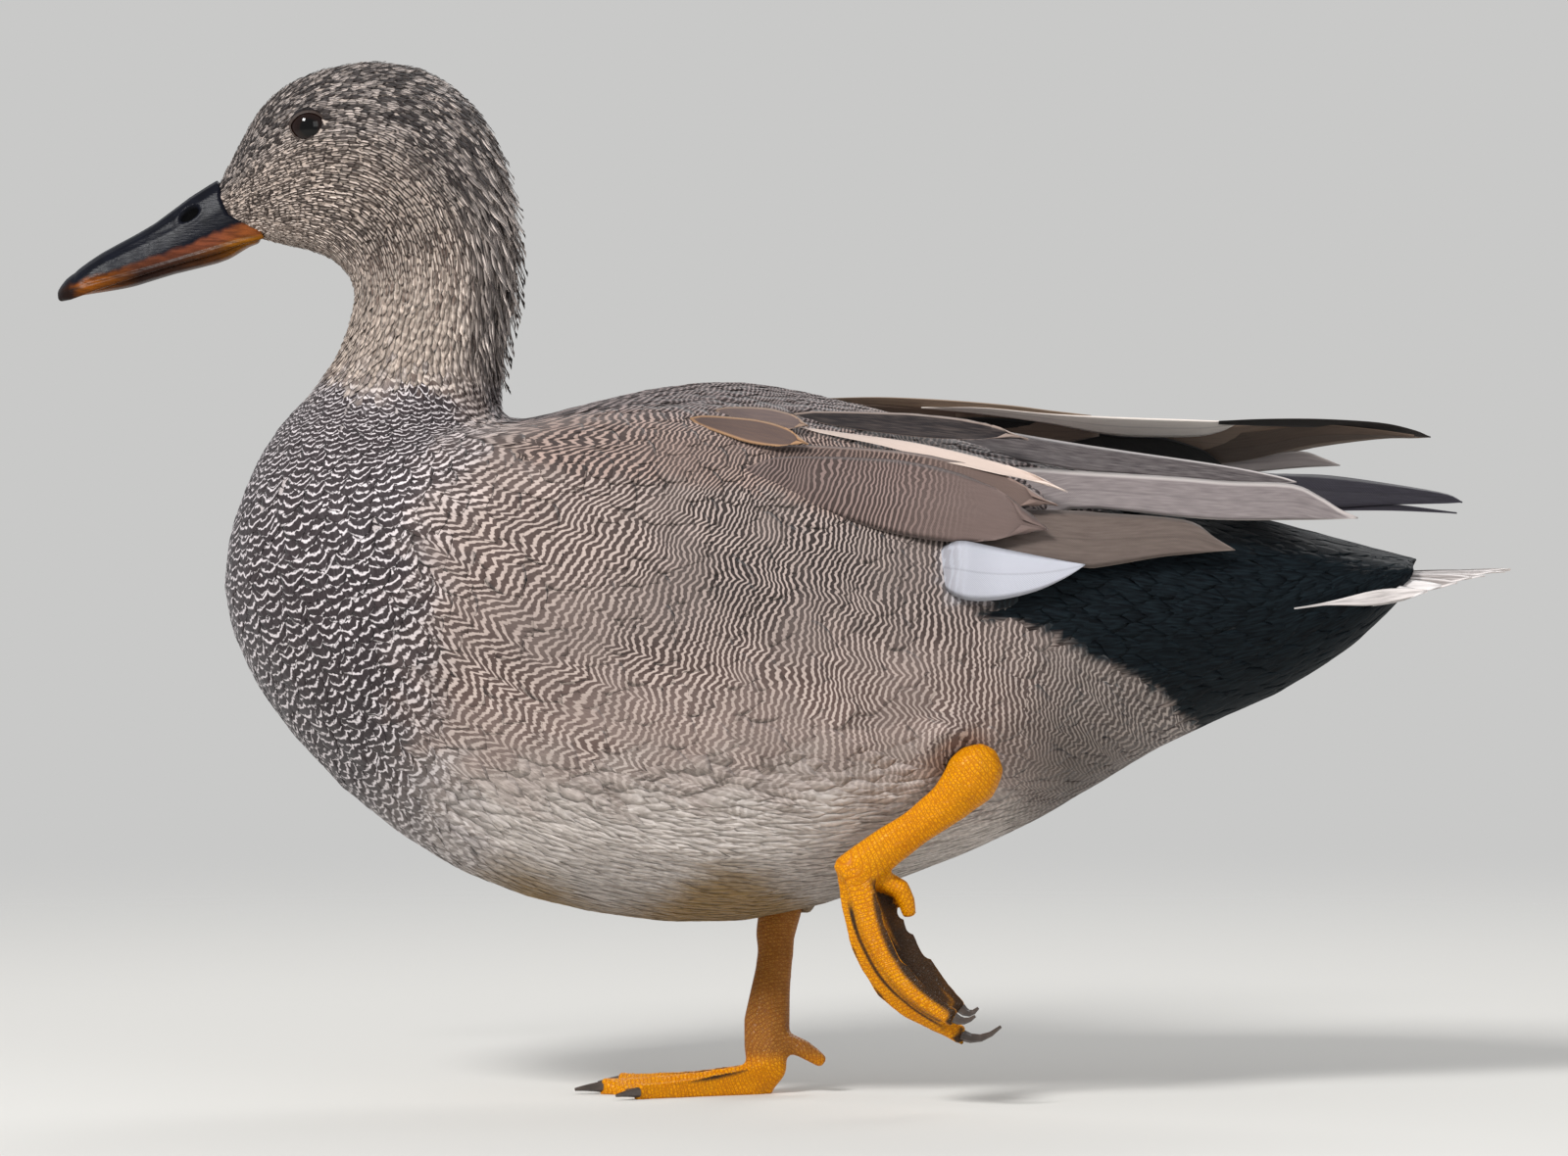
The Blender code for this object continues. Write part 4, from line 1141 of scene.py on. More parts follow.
def endsOf(name):
    points, _ = gather([name])
    low, high = points[:, 0].min(), points[:, 0].max()
    reach = 0.06 * (high - low)
    return points[points[:, 0] < low + reach].mean(axis=0), points[points[:, 0] > high - reach].mean(axis=0)


# one long feather's grid from its outline in side view: the vane stands off the body and leans in at its top
def bladeGrid(look, label, side, rows=26, columns=9):
    rootEnd, tipEnd = endsOf(f"{look['node']}_{label}")
    t, out = (np.linspace(0, 1, rows) ** 0.9)[:, None], np.linspace(-1, 1, columns)[None, :]
    drawn = np.array(look["outline"], float) + (0, look.get("up", 0), look.get("up", 0))
    outline = through(drawn, t[:, 0] * (len(drawn) - 1)) * mm
    x, lower, upper = wingHigh[0] + outline[:, :1], wingLow[2] + outline[:, 1:2], wingLow[2] + outline[:, 2:]
    rootLean, tipLean = leans[look["node"]]
    lean = np.radians(rootLean + (tipLean - rootLean) * t)
    half = (upper - lower) / 2
    z = lower + half * (1 + out)
    along = np.clip((x - rootEnd[0]) / (tipEnd[0] - rootEnd[0]), -0.6, 1.3)
    axis = rootEnd + (tipEnd - rootEnd) * along
    facing = -1 if look.get("inward") else 1
    tucked = look.get("tuck", 0.0) * mm * (1 - smoothStep(0, 0.35, t))
    y = np.abs(axis[:, 1:2]) - np.tan(lean) * (z - axis[:, 2:3]) + look["out"] * mm - tucked
    y = y + facing * 0.10 * half * (1 - out**2)
    grid = np.stack([np.broadcast_to(x, z.shape), side * y, z], axis=-1)
    full = half / np.cos(lean)
    run = np.broadcast_to(x - x[0], z.shape)
    local, rims = vanePlaces(full * out, np.broadcast_to(full, z.shape), run, float(x[-1, 0] - x[0, 0]))
    return grid, local, rims, float(full.max())


# what the feather material reads on a long vane: across, along and length, and how far in from each edge
def vanePlaces(across, full, run, length):
    local = np.stack([across, run, np.full(run.shape, length)], axis=-1) / mm
    rims = np.stack([full + across, full - across, length - run], axis=-1) / mm
    return local, rims


def markedCoat(looks, halves):
    count = len(looks)

    def every(key, usual=0.0):
        return np.array([look.get(key, usual) for look in looks], float)

    made = {key: np.array([linear(look[key]) for look in looks]) for key in ("dark", "pale")}
    made.update({"marks": every("marks", (1.8, 0, 0, 0.25)), "fade": every("fade", (0.0, 0.01))})
    made.update({"fringe": every("fringe", (0, 0, 0)), "even": every("even"), "half": np.array(halves)})
    made.update({"barred": np.ones(count), "scale": np.ones(count), "angle": np.zeros(count)})
    made.update({"along": np.arange(count), "seed": rng.random(count)})
    return made


# makes one piece of long vanes; the keel lies behind the face that each one shows
def growBlades(name, material, grids, looks, side, slotName, nodes, thick=0.35):
    made = []
    for (grid, local, rims, _), look in zip(grids, looks):
        facing = side * (-1 if look.get("inward") else 1)
        middle = grid.shape[1] // 2
        shown = unit(np.cross(grid[:, -1] - grid[:, 0], np.gradient(grid[:, middle], axis=0)))
        shown = shown * np.where(shown[:, 1:2] * facing < 0, -1, 1)
        turn = slice(None, None, -1 if facing > 0 else 1)
        made.append((grid[:, turn], grid[:, middle] - shown * thick * mm, local[:, turn], rims[:, turn]))
    upper, under, local, rims = (np.stack(part) for part in zip(*made))
    thing = vanePiece(
        name, material, upper, under, markedCoat(looks, [g[3] for g in grids]), local, rims, slotName
    )
    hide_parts(*nodes)


sides = ((-1, "left"), (1, "right"))
for side, label in sides:
    for name, slotName in (("whiteSecondaries", "white_feathers"), ("flightFeathers", "flight_feathers")):
        white = slotName == "white_feathers"
        looks = [look for look in longFeathers[label] if (look["node"] == "speculum") == white]
        nodes = sorted({f"{look['node']}_{label}" for look in looks})
        grids = [bladeGrid(look, label, side) for look in looks]
        growBlades(f"{name}_{label}", flightFeather, grids, looks, side, slotName, nodes)
print("long feathers")

# tail: sixteen feathers in a shallow arch

tailLook = {
    "feathers": 16,
    "rows": 16,
    "columns": 7,
    "halfWidth": 3.4,
    "fringe": (0.8, 0.8, 0.9),
    "middle": ("#6f645f", "#efe6e2", 0.30),  # dark, pale and the share of pale
    "outer": ("#a79c98", "#f4eeeb", 0.80),
    "side": ("#6b5f5a", "#ece4e0", 0.72),
    "sideHalf": 1.9,  # of the pale feather that lies along each side of the rump
    "sideOff": 2.2,  # mm that it stands off the skin
}
tailLow, tailHigh = boxOf("tail")
grids, looks = [], []


# off is how far each row stands out sideways, and opened the part of its length where it reaches full width
def addTailFeather(root, tip, halfWidth, roll, look, off=0.0, opened=0.1):
    rows, columns = tailLook["rows"], tailLook["columns"]
    t, out = np.linspace(0, 1, rows)[:, None], np.linspace(-1, 1, columns)[None, :]
    width = halfWidth * mm * np.maximum(vaneWidth(t, 0.55, 0.75), 0.08) * smoothStep(-0.02, opened, t)
    heading, length = unit(tip - root), float(np.linalg.norm(tip - root))
    across = unit(np.cross((0, 0, 1), heading)) * math.cos(roll) - np.array((0, 0, math.sin(roll)))
    stacked = 0.00035 * (len(looks) % 2) - 0.10 * width * out**2
    grid = root + heading * length * t[..., None] + across * (width * out)[..., None]
    grid = grid + np.array((0, 0, 1)) * stacked[..., None] + np.reshape(off, (-1, 1, 1)) * (0, 1, 0)
    wide, run = (np.broadcast_to(part, (rows, columns)) for part in (width, t * length))
    grids.append((grid, *vanePlaces(wide * out, wide, run, length), halfWidth * mm))
    dark, pale, even = tailLook[look]
    looks.append(
        {"dark": dark, "pale": pale, "even": even, "fringe": tailLook["fringe"], "marks": (1.8, 0, 0, 0.6)}
    )


for f in np.linspace(-1, 1, tailLook["feathers"]):
    arch = 1 - f * f
    root = np.array((tailLow[0] - 0.016, f * 0.010, tailLow[2] + 0.0005 + 0.0035 * arch))
    tip = np.array(
        (tailHigh[0] - 0.0215 * abs(f) ** 1.5, f * tailHigh[1] * 0.96, tailLow[2] + 0.0020 + 0.0045 * arch)
    )
    addTailFeather(root, tip, tailLook["halfWidth"], 0.9 * f, "outer" if abs(f) > 0.85 else "middle")
for side, _ in sides:
    root = np.array((tailLow[0] - 0.0115, side * 0.019, tailLow[2] - 0.0012))
    tip = np.array((tailLow[0] + 0.0200, side * 0.0175, tailLow[2] + 0.0023))
    off = []
    for place in root + (tip - root) * np.linspace(0, 1, tailLook["rows"])[:, None]:
        hit = skinSurface.tree.ray_cast(Vector((place[0], side * 0.1, place[2])), Vector((0, -side, 0)))[0]
        off.append(max(abs(hit[1]) + tailLook["sideOff"] * mm - abs(place[1]), 0) if hit else 0.0)
    off = np.maximum.accumulate(off[::-1])[::-1] * side
    addTailFeather(root, tip, tailLook["sideHalf"], side * 1.35, "side", off, 0.7)
upper, local, rims = (np.stack([g[k] for g in grids])[:, :, ::-1] for k in range(3))
under = upper[:, :, tailLook["columns"] // 2] - np.array((0, 0, 0.0004))
tailCoat = markedCoat(looks, [g[3] for g in grids])
tailPiece = vanePiece("tailFeathers", flightFeather, upper, under, tailCoat, local, rims, "tail_feathers")
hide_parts("tail")
print("tail")

# scapulars: the loose feathers over the wing's root, placed one by one

# root and tip as places along and up the wing's box, half width and tip's height in mm, and how far it rolls
scapulars = [
    {"root": (0.37, 0.67), "tip": (0.95, 0.30), "half": 8.5, "lift": 6.6, "roll": 0.22, "fade": (0.42, 0.32),
     "even": 0.40, "marks": (1.8, 0.85, 0, 0.1), "dark": "#3a2d29", "pale": "#957f78",
     "fringe": (0.3, 0.5, 0.5)},
    {"root": (0.40, 0.78), "tip": (0.965, 0.45), "half": 6.2, "lift": 6.8, "roll": 0.14, "fade": (0.40, 0.3),
     "even": 0.40, "marks": (1.8, 0.85, 0, 0.1), "dark": "#3a2d29", "pale": "#937c72",
     "fringe": (0.0, 0.9, 0.8)},
    {"root": (0.46, 1.00), "tip": (0.91, 0.85), "half": 3.6, "lift": 8.0, "roll": 0.35, "even": 0.03,
     "marks": (1.8, 0, 0, 0.2), "dark": "#1f1819", "pale": "#b19c90", "fringe": (0.0, 0.6, 0.8)},
    {"root": (0.47, 0.92), "tip": (0.98, 0.49), "half": 2.1, "lift": 8.6, "roll": 0.0, "even": 0.70,
     "marks": (1.8, 0, 0, 0.1), "dark": "#9c8272", "pale": "#e4d1c5", "fringe": (0.3, 0.3, 1.0)},
    {"root": (0.31, 1.03), "tip": (0.49, 0.94), "half": 3.2, "lift": 3.4, "roll": 0.3, "even": 0.20,
     "marks": (1.8, 0, 0, 0.2), "dark": "#50464a", "pale": "#a28772", "fringe": (0.7, 0.7, 0.8)},
    {"root": (0.263, 0.98), "tip": (0.49, 0.82), "half": 3.8, "lift": 3.8, "roll": 0.2, "even": 0.15,
     "marks": (1.8, 0, 0, 0.1), "dark": "#463c3f", "pale": "#a9825f", "fringe": (0.8, 0.8, 0.95)},
]


def onWing(place, side):
    x = wingLow[0] + (wingHigh[0] - wingLow[0]) * place[0]
    z = wingLow[2] + (wingHigh[2] - wingLow[2]) * place[1]
    hit = skinSurface.tree.ray_cast(Vector((x, side * 0.2, z)), Vector((0, -side, 0)))
    if hit[0] is None:
        hit = skinSurface.tree.find_nearest(Vector((x, side * 0.02, z)))
    return np.array(hit[0]), hit[2]


def placedCoat(looks, side):
    coat = markedCoat(looks, [look["half"] * mm for look in looks])
    starts = [onWing(look["root"], side) for look in looks]
    root = np.array([start[0] for start in starts])
    normal = skinSurface.normalAt(root, np.array([start[1] for start in starts]))
    tips = []
    for look in looks:
        place = np.array(look["tip"])
        for _ in range(3):
            end, face = onWing(place, side)
            raised = skinSurface.normalAt(end[None], np.array([face]))[0] * look["lift"] * mm
            place = np.array(look["tip"]) - raised[[0, 2]] / (wingHigh - wingLow)[[0, 2]]
        tips.append(end)
    heading = np.array(tips) - root
    lie = unit(heading - normal * (heading * normal).sum(axis=1, keepdims=True))
    if side > 0:
        coat["fringe"] = coat["fringe"][:, (1, 0, 2)]
    same = {
        "dip": 0.0, "sharp": 0.5, "ragged": 0.03, "fullest": 0.5, "sink": 0.3 * mm, "camber": 0.07,
        "curve": 0.02 * side, "thick": 0.4 * mm,
    }
    coat.update({key: np.full(len(looks), value) for key, value in same.items()})
    coat.update({"root": root, "normal": normal, "lie": lie, "length": np.linalg.norm(heading, axis=1)})
    coat["lift"] = np.array([look["lift"] * mm for look in looks])
    coat["roll"] = np.array([-side * look["roll"] for look in looks])
    return coat


for side, label in sides:
    placed = placedCoat(scapulars, side)
    growVanes(f"scapulars_{label}", contourFeather, skinSurface, placed, 20, 11, rng, "wing_feathers")
print("scapulars")

# bill: a horny sheath, remeshed fine so that its grooves are real

billLook = {
    "voxel": 0.00042,
    # places along and up the upper bill's box, from the tip back, of the black's edge and of the groove
    "blackEdge": (
        (0.0, 0.10), (0.05, 0.13), (0.113, 0.157), (0.224, 0.215), (0.36, 0.30), (0.485, 0.383),
        (0.585, 0.44), (0.68, 0.493), (0.78, 0.577), (0.885, 0.635), (0.957, 0.66), (1.1, 0.68),
    ),
    "groove": ((0.0, 0.06), (0.162, 0.165), (0.45, 0.30), (0.70, 0.43), (0.942, 0.555), (1.1, 0.60)),
    "nostril": (0.662, 0.735),
    "nostrilHalf": (0.0027, 0.00125),
    "nostrilTurn": 0.58,
    "smoothing": 7,
    "swell": 0.16,  # mm outward, which closes the slit between the bill's halves
    "ridge": 0.9,  # mm that its ridge stands up
    "tipTuck": 1.5,  # mm that the lower half's tip lies up inside the upper
    "rooted": 2.0,  # mm that its base reaches back under the face's feathers
    "rootedBelow": 0.6,
    "gapeTuck": 1.6,  # mm that the lower half's corner rises into the chin
    "grooveDeep": 0.30,  # mm, with a lip of this height below it
    "lip": 0.18,
    "nostrilDeep": 1.5,
    "nailSeam": 0.14,
    "comb": 1.0,  # mm from tooth to tooth of the comb along its edge
    # from the tip back, the colours above the groove and below it
    "above": (
        (0.0, "#140c0a"), (0.06, "#2a160d"), (0.11, "#8a4706"), (0.24, "#84460a"), (0.38, "#5f3420"),
        (0.60, "#6b3824"), (0.80, "#7c432b"), (0.93, "#824620"), (1.0, "#7c431c"),
    ),
    "below": (
        (0.0, "#140c0a"), (0.08, "#20120c"), (0.14, "#7e4406"), (0.26, "#6e3b08"), (0.42, "#2c1811"),
        (0.62, "#3a2012"), (0.80, "#5c3412"), (0.92, "#855108"), (1.0, "#7e4c08"),
    ),
    "black": ("#05060a", "#11131e"),
    "streaks": "#1e100c",
    "roughness": (0.24, 0.44),
}


def colourRamp(add, along, colours):
    ramp = add("ValToRGB", [along])
    elements = ramp.node.color_ramp.elements
    while len(elements) < len(colours):
        elements.new(0.5)
    for element, (place, code) in zip(elements, colours):
        element.position, element.color = place, colour(code)
    return ramp


def billFinish():
    # keratin over bone: satin, black above, orange along the edge
    made, add, shader = newMaterial("hornBill")
    billMap = add("Attribute", attribute_name="billMap", out="Vector")
    along, aboveBlack, aboveGroove = add("SeparateXYZ", [billMap]).node.outputs
    shadedHole = add("Attribute", attribute_name="shadedHole", out="Fac")
    spot = add("TexCoord", out="Object")
    stretched = add("Mapping", {"Vector": spot, "Rotation": (0, -0.5, 0), "Scale": (220, 700, 1500)})
    grain = add("TexNoise", {"Vector": stretched, "Scale": 1.0, "Detail": 3.0})
    blotch = add("TexNoise", {"Vector": spot, "Scale": 260.0, "Detail": 3.0})
    uneven = add("Math", [add("Math", [blotch, -0.5], "ADD"), 3.0, aboveBlack], "MULTIPLY_ADD")
    isBlack = add("MapRange", [uneven, -0.7, 0.9], interpolation_type="SMOOTHSTEP")
    isBelow = add("MapRange", [aboveGroove, 0.35, -0.35])
    above, below = (colourRamp(add, along, billLook[key]) for key in ("above", "below"))
    orange = add("Mix", {0: isBelow, 6: above, 7: below}, **inColour)
    streaked = add("MapRange", [grain, 0.40, 0.68, 0.0, 0.55])
    orange = add("Mix", {0: streaked, 6: orange, 7: colour(billLook["streaks"])}, **inColour)
    deep, lit = (colour(code) for code in billLook["black"])
    black = add("Mix", {0: blotch, 6: deep, 7: lit}, **inColour)
    tone = add("Mix", {0: isBlack, 6: orange, 7: black}, **inColour)
    # painted shade: nearly black in the nostril and between the comb's teeth, where its gloss is also taken
    # away
    tone = add("Mix", {0: shadedHole, 6: tone, 7: (0.004, 0.004, 0.004, 1)}, **inColour)
    scratch = add("TexNoise", {"Vector": stretched, "Scale": 2.2, "Detail": 4.0})
    smoothest, roughest = billLook["roughness"]
    feed(shader, {
        "Base Color": tone,
        "Roughness": add("MapRange", [scratch, None, None, smoothest, roughest]),
        "Normal": add("Bump", {"Height": scratch, "Strength": 0.35, "Distance": 0.0002}),
        "Specular IOR Level": add("MapRange", [shadedHole, None, None, 0.12, 0.0]),
    })
    return made


hornBill = billFinish()


# what stands out of the upper half's sides and sinks into them, in mm, and where it is painted dark as shade:
# in the nostril's hole and between the teeth of the comb along its edge
def billRelief(points, normals, at, aboveGroove):
    look = billLook
    push = -look["grooveDeep"] * np.exp(-((aboveGroove / 0.42) ** 2))
    push = push + look["lip"] * np.exp(-(((aboveGroove + 1.0) / 0.5) ** 2))
    push *= (np.abs(normals[:, 1]) > 0.25) * smoothStep(0.08, 0.2, at[:, 0])
    push *= 1 - smoothStep(0.93, 1.0, at[:, 0])
    centre = inBox("bill_upper", look["nostril"][0], 0.5, look["nostril"][1])
    dx, dz = points[:, 0] - centre[0], points[:, 2] - centre[2]
    cosine, sine = math.cos(look["nostrilTurn"]), math.sin(look["nostrilTurn"])
    a = (dx * cosine + dz * sine) / look["nostrilHalf"][0]
    b = (-dx * sine + dz * cosine) / look["nostrilHalf"][1]
    inside = np.sqrt(a * a + b * b)
    push = push - look["nostrilDeep"] * (1 - smoothStep(0.65, 1.05, inside))
    push = push + 0.08 * np.exp(-(((inside - 1.35) / 0.25) ** 2))
    nail = np.exp(-(((at[:, 0] - 0.085) / 0.012) ** 2)) * smoothStep(0.25, 0.6, normals[:, 2])
    push = push - look["nailSeam"] * nail
    comb = (1 - smoothStep(0.3, 0.9, np.abs(aboveGroove + 2.5))) * smoothStep(0.46, 0.52, at[:, 0])
    comb = comb * (1 - smoothStep(0.76, 0.84, at[:, 0]))
    teeth = smoothStep(-0.1, 0.5, np.sin(points[:, 0] / (look["comb"] * mm) * math.tau))
    return push, np.maximum(1 - smoothStep(0.75, 1.05, inside), 0.75 * comb * teeth)


def makeBill(name, slotName, upper):
    look = billLook
    points, faces = fuse(name, [name], look["voxel"], look["smoothing"], hornBill)
    normals = vertexNormals(points, faces)
    at = within(points, "bill_upper")
    points = points + normals * look["swell"] * mm
    points[:, 0] += look["rooted" if upper else "rootedBelow"] * mm * smoothStep(0.90, 1.0, at[:, 0])
    if upper:
        behind = at[:, 0] - np.interp(at[:, 2], *faceEdge.T)
        points = points - normals * (1.5 * mm * smoothStep(0.0, 0.035, behind))[:, None]
    low, high = boxOf("bill_upper")
    tall = float(high[2] - low[2])
    edgesUp = (np.interp(at[:, 0], *np.array(look[key]).T) for key in ("blackEdge", "groove"))
    aboveBlack, aboveGroove = ((at[:, 2] - edge) * tall / mm for edge in edgesUp)
    shadedHole = np.zeros(len(points))
    if upper:
        push, shadedHole = billRelief(points, normals, at, aboveGroove)
        points = points + normals * push[:, None] * mm
        onTop = smoothStep(0.25, 0.8, normals[:, 2])
        points[:, 2] += look["ridge"] * mm * onTop * smoothStep(0.02, 0.25, at[:, 0])
    else:
        points[:, 2] += 0.45 * mm * smoothStep(0.1, 0.6, normals[:, 2])
        points[:, 2] += look["tipTuck"] * mm * (1 - smoothStep(0.08, 0.42, at[:, 0]))
        below = np.clip((boxOf("bill_lower")[1][2] - points[:, 2]) / (3.0 * mm), 0, 1)
        points[:, 2] += look["gapeTuck"] * mm * smoothStep(0.84, 1.02, at[:, 0]) * below
    thing = addMesh(name + "Horn", points, list(faces), hornBill)
    setAttribute(thing, "billMap", "FLOAT_VECTOR", np.column_stack([at[:, 0], aboveBlack, aboveGroove]))
    setAttribute(thing, "shadedHole", "FLOAT", shadedHole)
    asPiece(thing, slotName, name)


makeBill("bill_upper", "bill", True)
makeBill("bill_lower", "bill_edge", False)
print("bill")

# eyes: a wet ball in lids that lie on it

eyeLook = {
    "ball": 0.0047,
    "halfWide": 0.00385,
    "halfTall": 0.00335,
    "corner": 0.22,
    "iris": ((0.0, "#020101"), (0.42, "#030202"), (0.50, "#150a06"), (0.80, "#1c0d08"), (1.0, "#060303")),
    # each ring of the lids: how far out from the opening, and how far off the ball's centre, in mm
    "lids": (
        (0.00, 4.30), (0.00, 4.88), (0.12, 5.02), (0.30, 5.00), (0.52, 4.80), (0.80, 4.55), (1.2, 4.3),
        (1.7, 3.9),
    ),
    "lidTones": ("#1d1411", "#4f4038"),
    "facing": (0.04, 1.0, -0.07),
    "turns": 64,
    "rings": 22,
}
wetEye, add, shader = newMaterial("wetEye")  # cornea over a dark brown iris: mirror-wet, nearly black
iris = colourRamp(add, add("Attribute", attribute_name="eyeMap", out="Fac"), eyeLook["iris"])
feed(shader, {"Base Color": iris, "Roughness": 0.04, "Specular IOR Level": 0.30})

lidSkin, add, shader = newMaterial("lidSkin")  # bare skin round the eye: dark, finely creased, a little damp
crease = add("TexNoise", {"Vector": add("TexCoord", out="Object"), "Scale": 1800.0, "Detail": 3.0})
deep, lit = (colour(code) for code in eyeLook["lidTones"])
# the creases are painted darker than the skin between them: painted shade in the folds, over the lid's own
# dark tone
feed(shader, {
    "Base Color": add("Mix", {0: crease, 6: deep, 7: lit}, **inColour),
    "Normal": add("Bump", {"Height": crease, "Strength": 0.6, "Distance": 0.0003}),
    "Roughness": 0.45,
})


def ringMesh(rings, closeEnd):
    around = len(rings[0])
    faces = []
    for i in range(len(rings) - 1):
        for j in range(around):
            k = (j + 1) % around
            faces.append((i * around + j, i * around + k, (i + 1) * around + k, (i + 1) * around + j))
    if closeEnd:
        faces.append(tuple(range((len(rings) - 1) * around, len(rings) * around)))
        faces.append(tuple(reversed(range(around))))
    return np.concatenate(rings), faces


for side, label in sides:
    middle = eyeMiddles[side > 0]
    axis = unit(np.array(eyeLook["facing"]) * (1, side, 1))
    ahead = unit(np.cross(axis, (0, 0, 1))) * -side
    up = np.cross(ahead, axis)
    up = up * np.sign(up[2])
    turns = np.linspace(0, math.tau, eyeLook["turns"], endpoint=False)
    cosines, sines = np.cos(turns), np.sin(turns)
    steps = np.linspace(0.02, 0.72, eyeLook["rings"]) * math.pi
    around = cosines[:, None] * ahead + sines[:, None] * up
    rings = [middle + eyeLook["ball"] * (math.cos(step) * axis + math.sin(step) * around) for step in steps]
    points, faces = ringMesh(rings, True)
    if side < 0:
        faces = [tuple(reversed(face)) for face in faces]
    ball = addMesh(f"eyeball_{label}", points, faces, wetEye)
    fromPupil = np.clip(np.sin(steps) * 1.05, 0, 1) * (steps < 1.7) + (steps >= 1.7)
    setAttribute(ball, "eyeMap", "FLOAT", np.repeat(fromPupil, len(turns)))
    asPiece(ball, "eye", f"eye_{label}")
    lids = []
    pinch = 1 + eyeLook["corner"] * np.abs(cosines) ** 8 * 0.4
    for outward, radius in eyeLook["lids"]:
        wide = (eyeLook["halfWide"] + outward * mm) * pinch
        tall = eyeLook["halfTall"] + outward * mm * 0.9
        flat = (cosines * wide)[:, None] * ahead + (sines * tall)[:, None] * up
        away = np.sqrt(np.maximum((radius * mm) ** 2 - (flat * flat).sum(axis=1), (0.2 * mm) ** 2))
        lids.append(middle + flat + away[:, None] * axis)
    points, faces = ringMesh(lids, False)
    if side > 0:
        faces = [tuple(reversed(face)) for face in faces]
    asPiece(addMesh(f"eyelids_{label}", points, faces, lidSkin), "head_feathers")
print("eyes")

# legs and feet: scaled skin over each leg's solids, remeshed fine

legLook = {
    "voxel": 0.00042,
    "smoothing": 18,
    "swell": 0.0009,
    "settle": 0.0006,
    "scutes": 0.95,  # mm from one plate of horn to the next
    "cells": 1300.0,  # per metre, of the small round plates
    "web": 2.2,  # mm: what is thinner is web
    "knob": 0.9,
    "waist": 0.45,
    "cuticle": 0.4,
    "heel": 3.2,
    # each fold's line down the raised foot's box, as places along and up it, and its half width in mm
    "folds": (
        (((0.10, 0.78), (0.17, 0.60), (0.33, 0.38), (0.55, 0.22), (0.80, 0.10)), 0.6),
        (((0.30, 0.93), (0.42, 0.70), (0.55, 0.50), (0.70, 0.34), (0.86, 0.20)), 2.3),
    ),
    "orange": ("#cf8000", "#f5aa00"),
    "dull": ("#845620", "#c0843a"),  # the standing leg, in shade and dusty
    "webTones": ("#24170f", "#46311d"),
    "seams": "#a8662a",
    "clawTones": ("#1d1713", "#5d5048"),
}


def legFinish():
    # soft horn plates: waxy orange, dark where the web stretches
    made, add, shader = newMaterial("scutedLegSkin")
    legMap = add("Attribute", attribute_name="legMap", out="Vector")
    along, web, dull = add("SeparateXYZ", [legMap]).node.outputs
    spot = add("TexCoord", out="Object")
    cells = {"Vector": spot, "Scale": legLook["cells"]}
    cells = add("TexVoronoi", cells, feature="DISTANCE_TO_EDGE", out="Distance")
    smallCells = add("MapRange", [cells, None, 0.18])
    plates = add("Math", [along, math.tau / legLook["scutes"]], "MULTIPLY")
    plates = add("MapRange", [add("Math", [plates], "SINE"), -1.0, -0.55])
    relief = add("Math", [smallCells, plates], "MULTIPLY")
    cloud = add("TexNoise", {"Vector": spot, "Scale": 120.0, "Detail": 3.0})
    orange, shadedAndDusty, webTone = (
        add("Mix", {0: cloud, 6: colour(legLook[key][0]), 7: colour(legLook[key][1])}, **inColour)
        for key in ("orange", "dull", "webTones")
    )
    tone = add("Mix", {0: dull, 6: orange, 7: shadedAndDusty}, **inColour)
    seams = add("Mix", {0: relief, 6: colour(legLook["seams"]), 7: (1, 1, 1, 1)}, **inColour)
    tone = add("Mix", {0: 0.55, 6: tone, 7: seams}, blend_type="MULTIPLY", **inColour)
    uneven = [add("Math", [cloud, -0.5], "ADD"), 0.5, web]
    isWeb = add("Math", uneven, "MULTIPLY_ADD", use_clamp=True)
    feed(shader, {
        "Base Color": add("Mix", {0: isWeb, 6: tone, 7: webTone}, **inColour),
        "Normal": add("Bump", {"Height": relief, "Strength": 0.5, "Distance": 0.00025}),
        "Roughness": 0.36,
        "Specular IOR Level": 0.15,
        "Subsurface Weight": 0.10,
        "Subsurface Radius": (0.002, 0.0008, 0.0003),
        "Subsurface Scale": 1.0,
    })
    return made


scutedLegSkin = legFinish()
hornClaw, add, shader = newMaterial("hornClaw")  # claw horn: dark brown, mottled, half gloss
grain = add("TexNoise", {"Vector": add("TexCoord", out="Object"), "Scale": 500.0, "Detail": 3.0})
deep, lit = (colour(code) for code in legLook["clawTones"])
feed(shader, {"Base Color": add("Mix", {0: grain, 6: deep, 7: lit}, **inColour), "Roughness": 0.35})


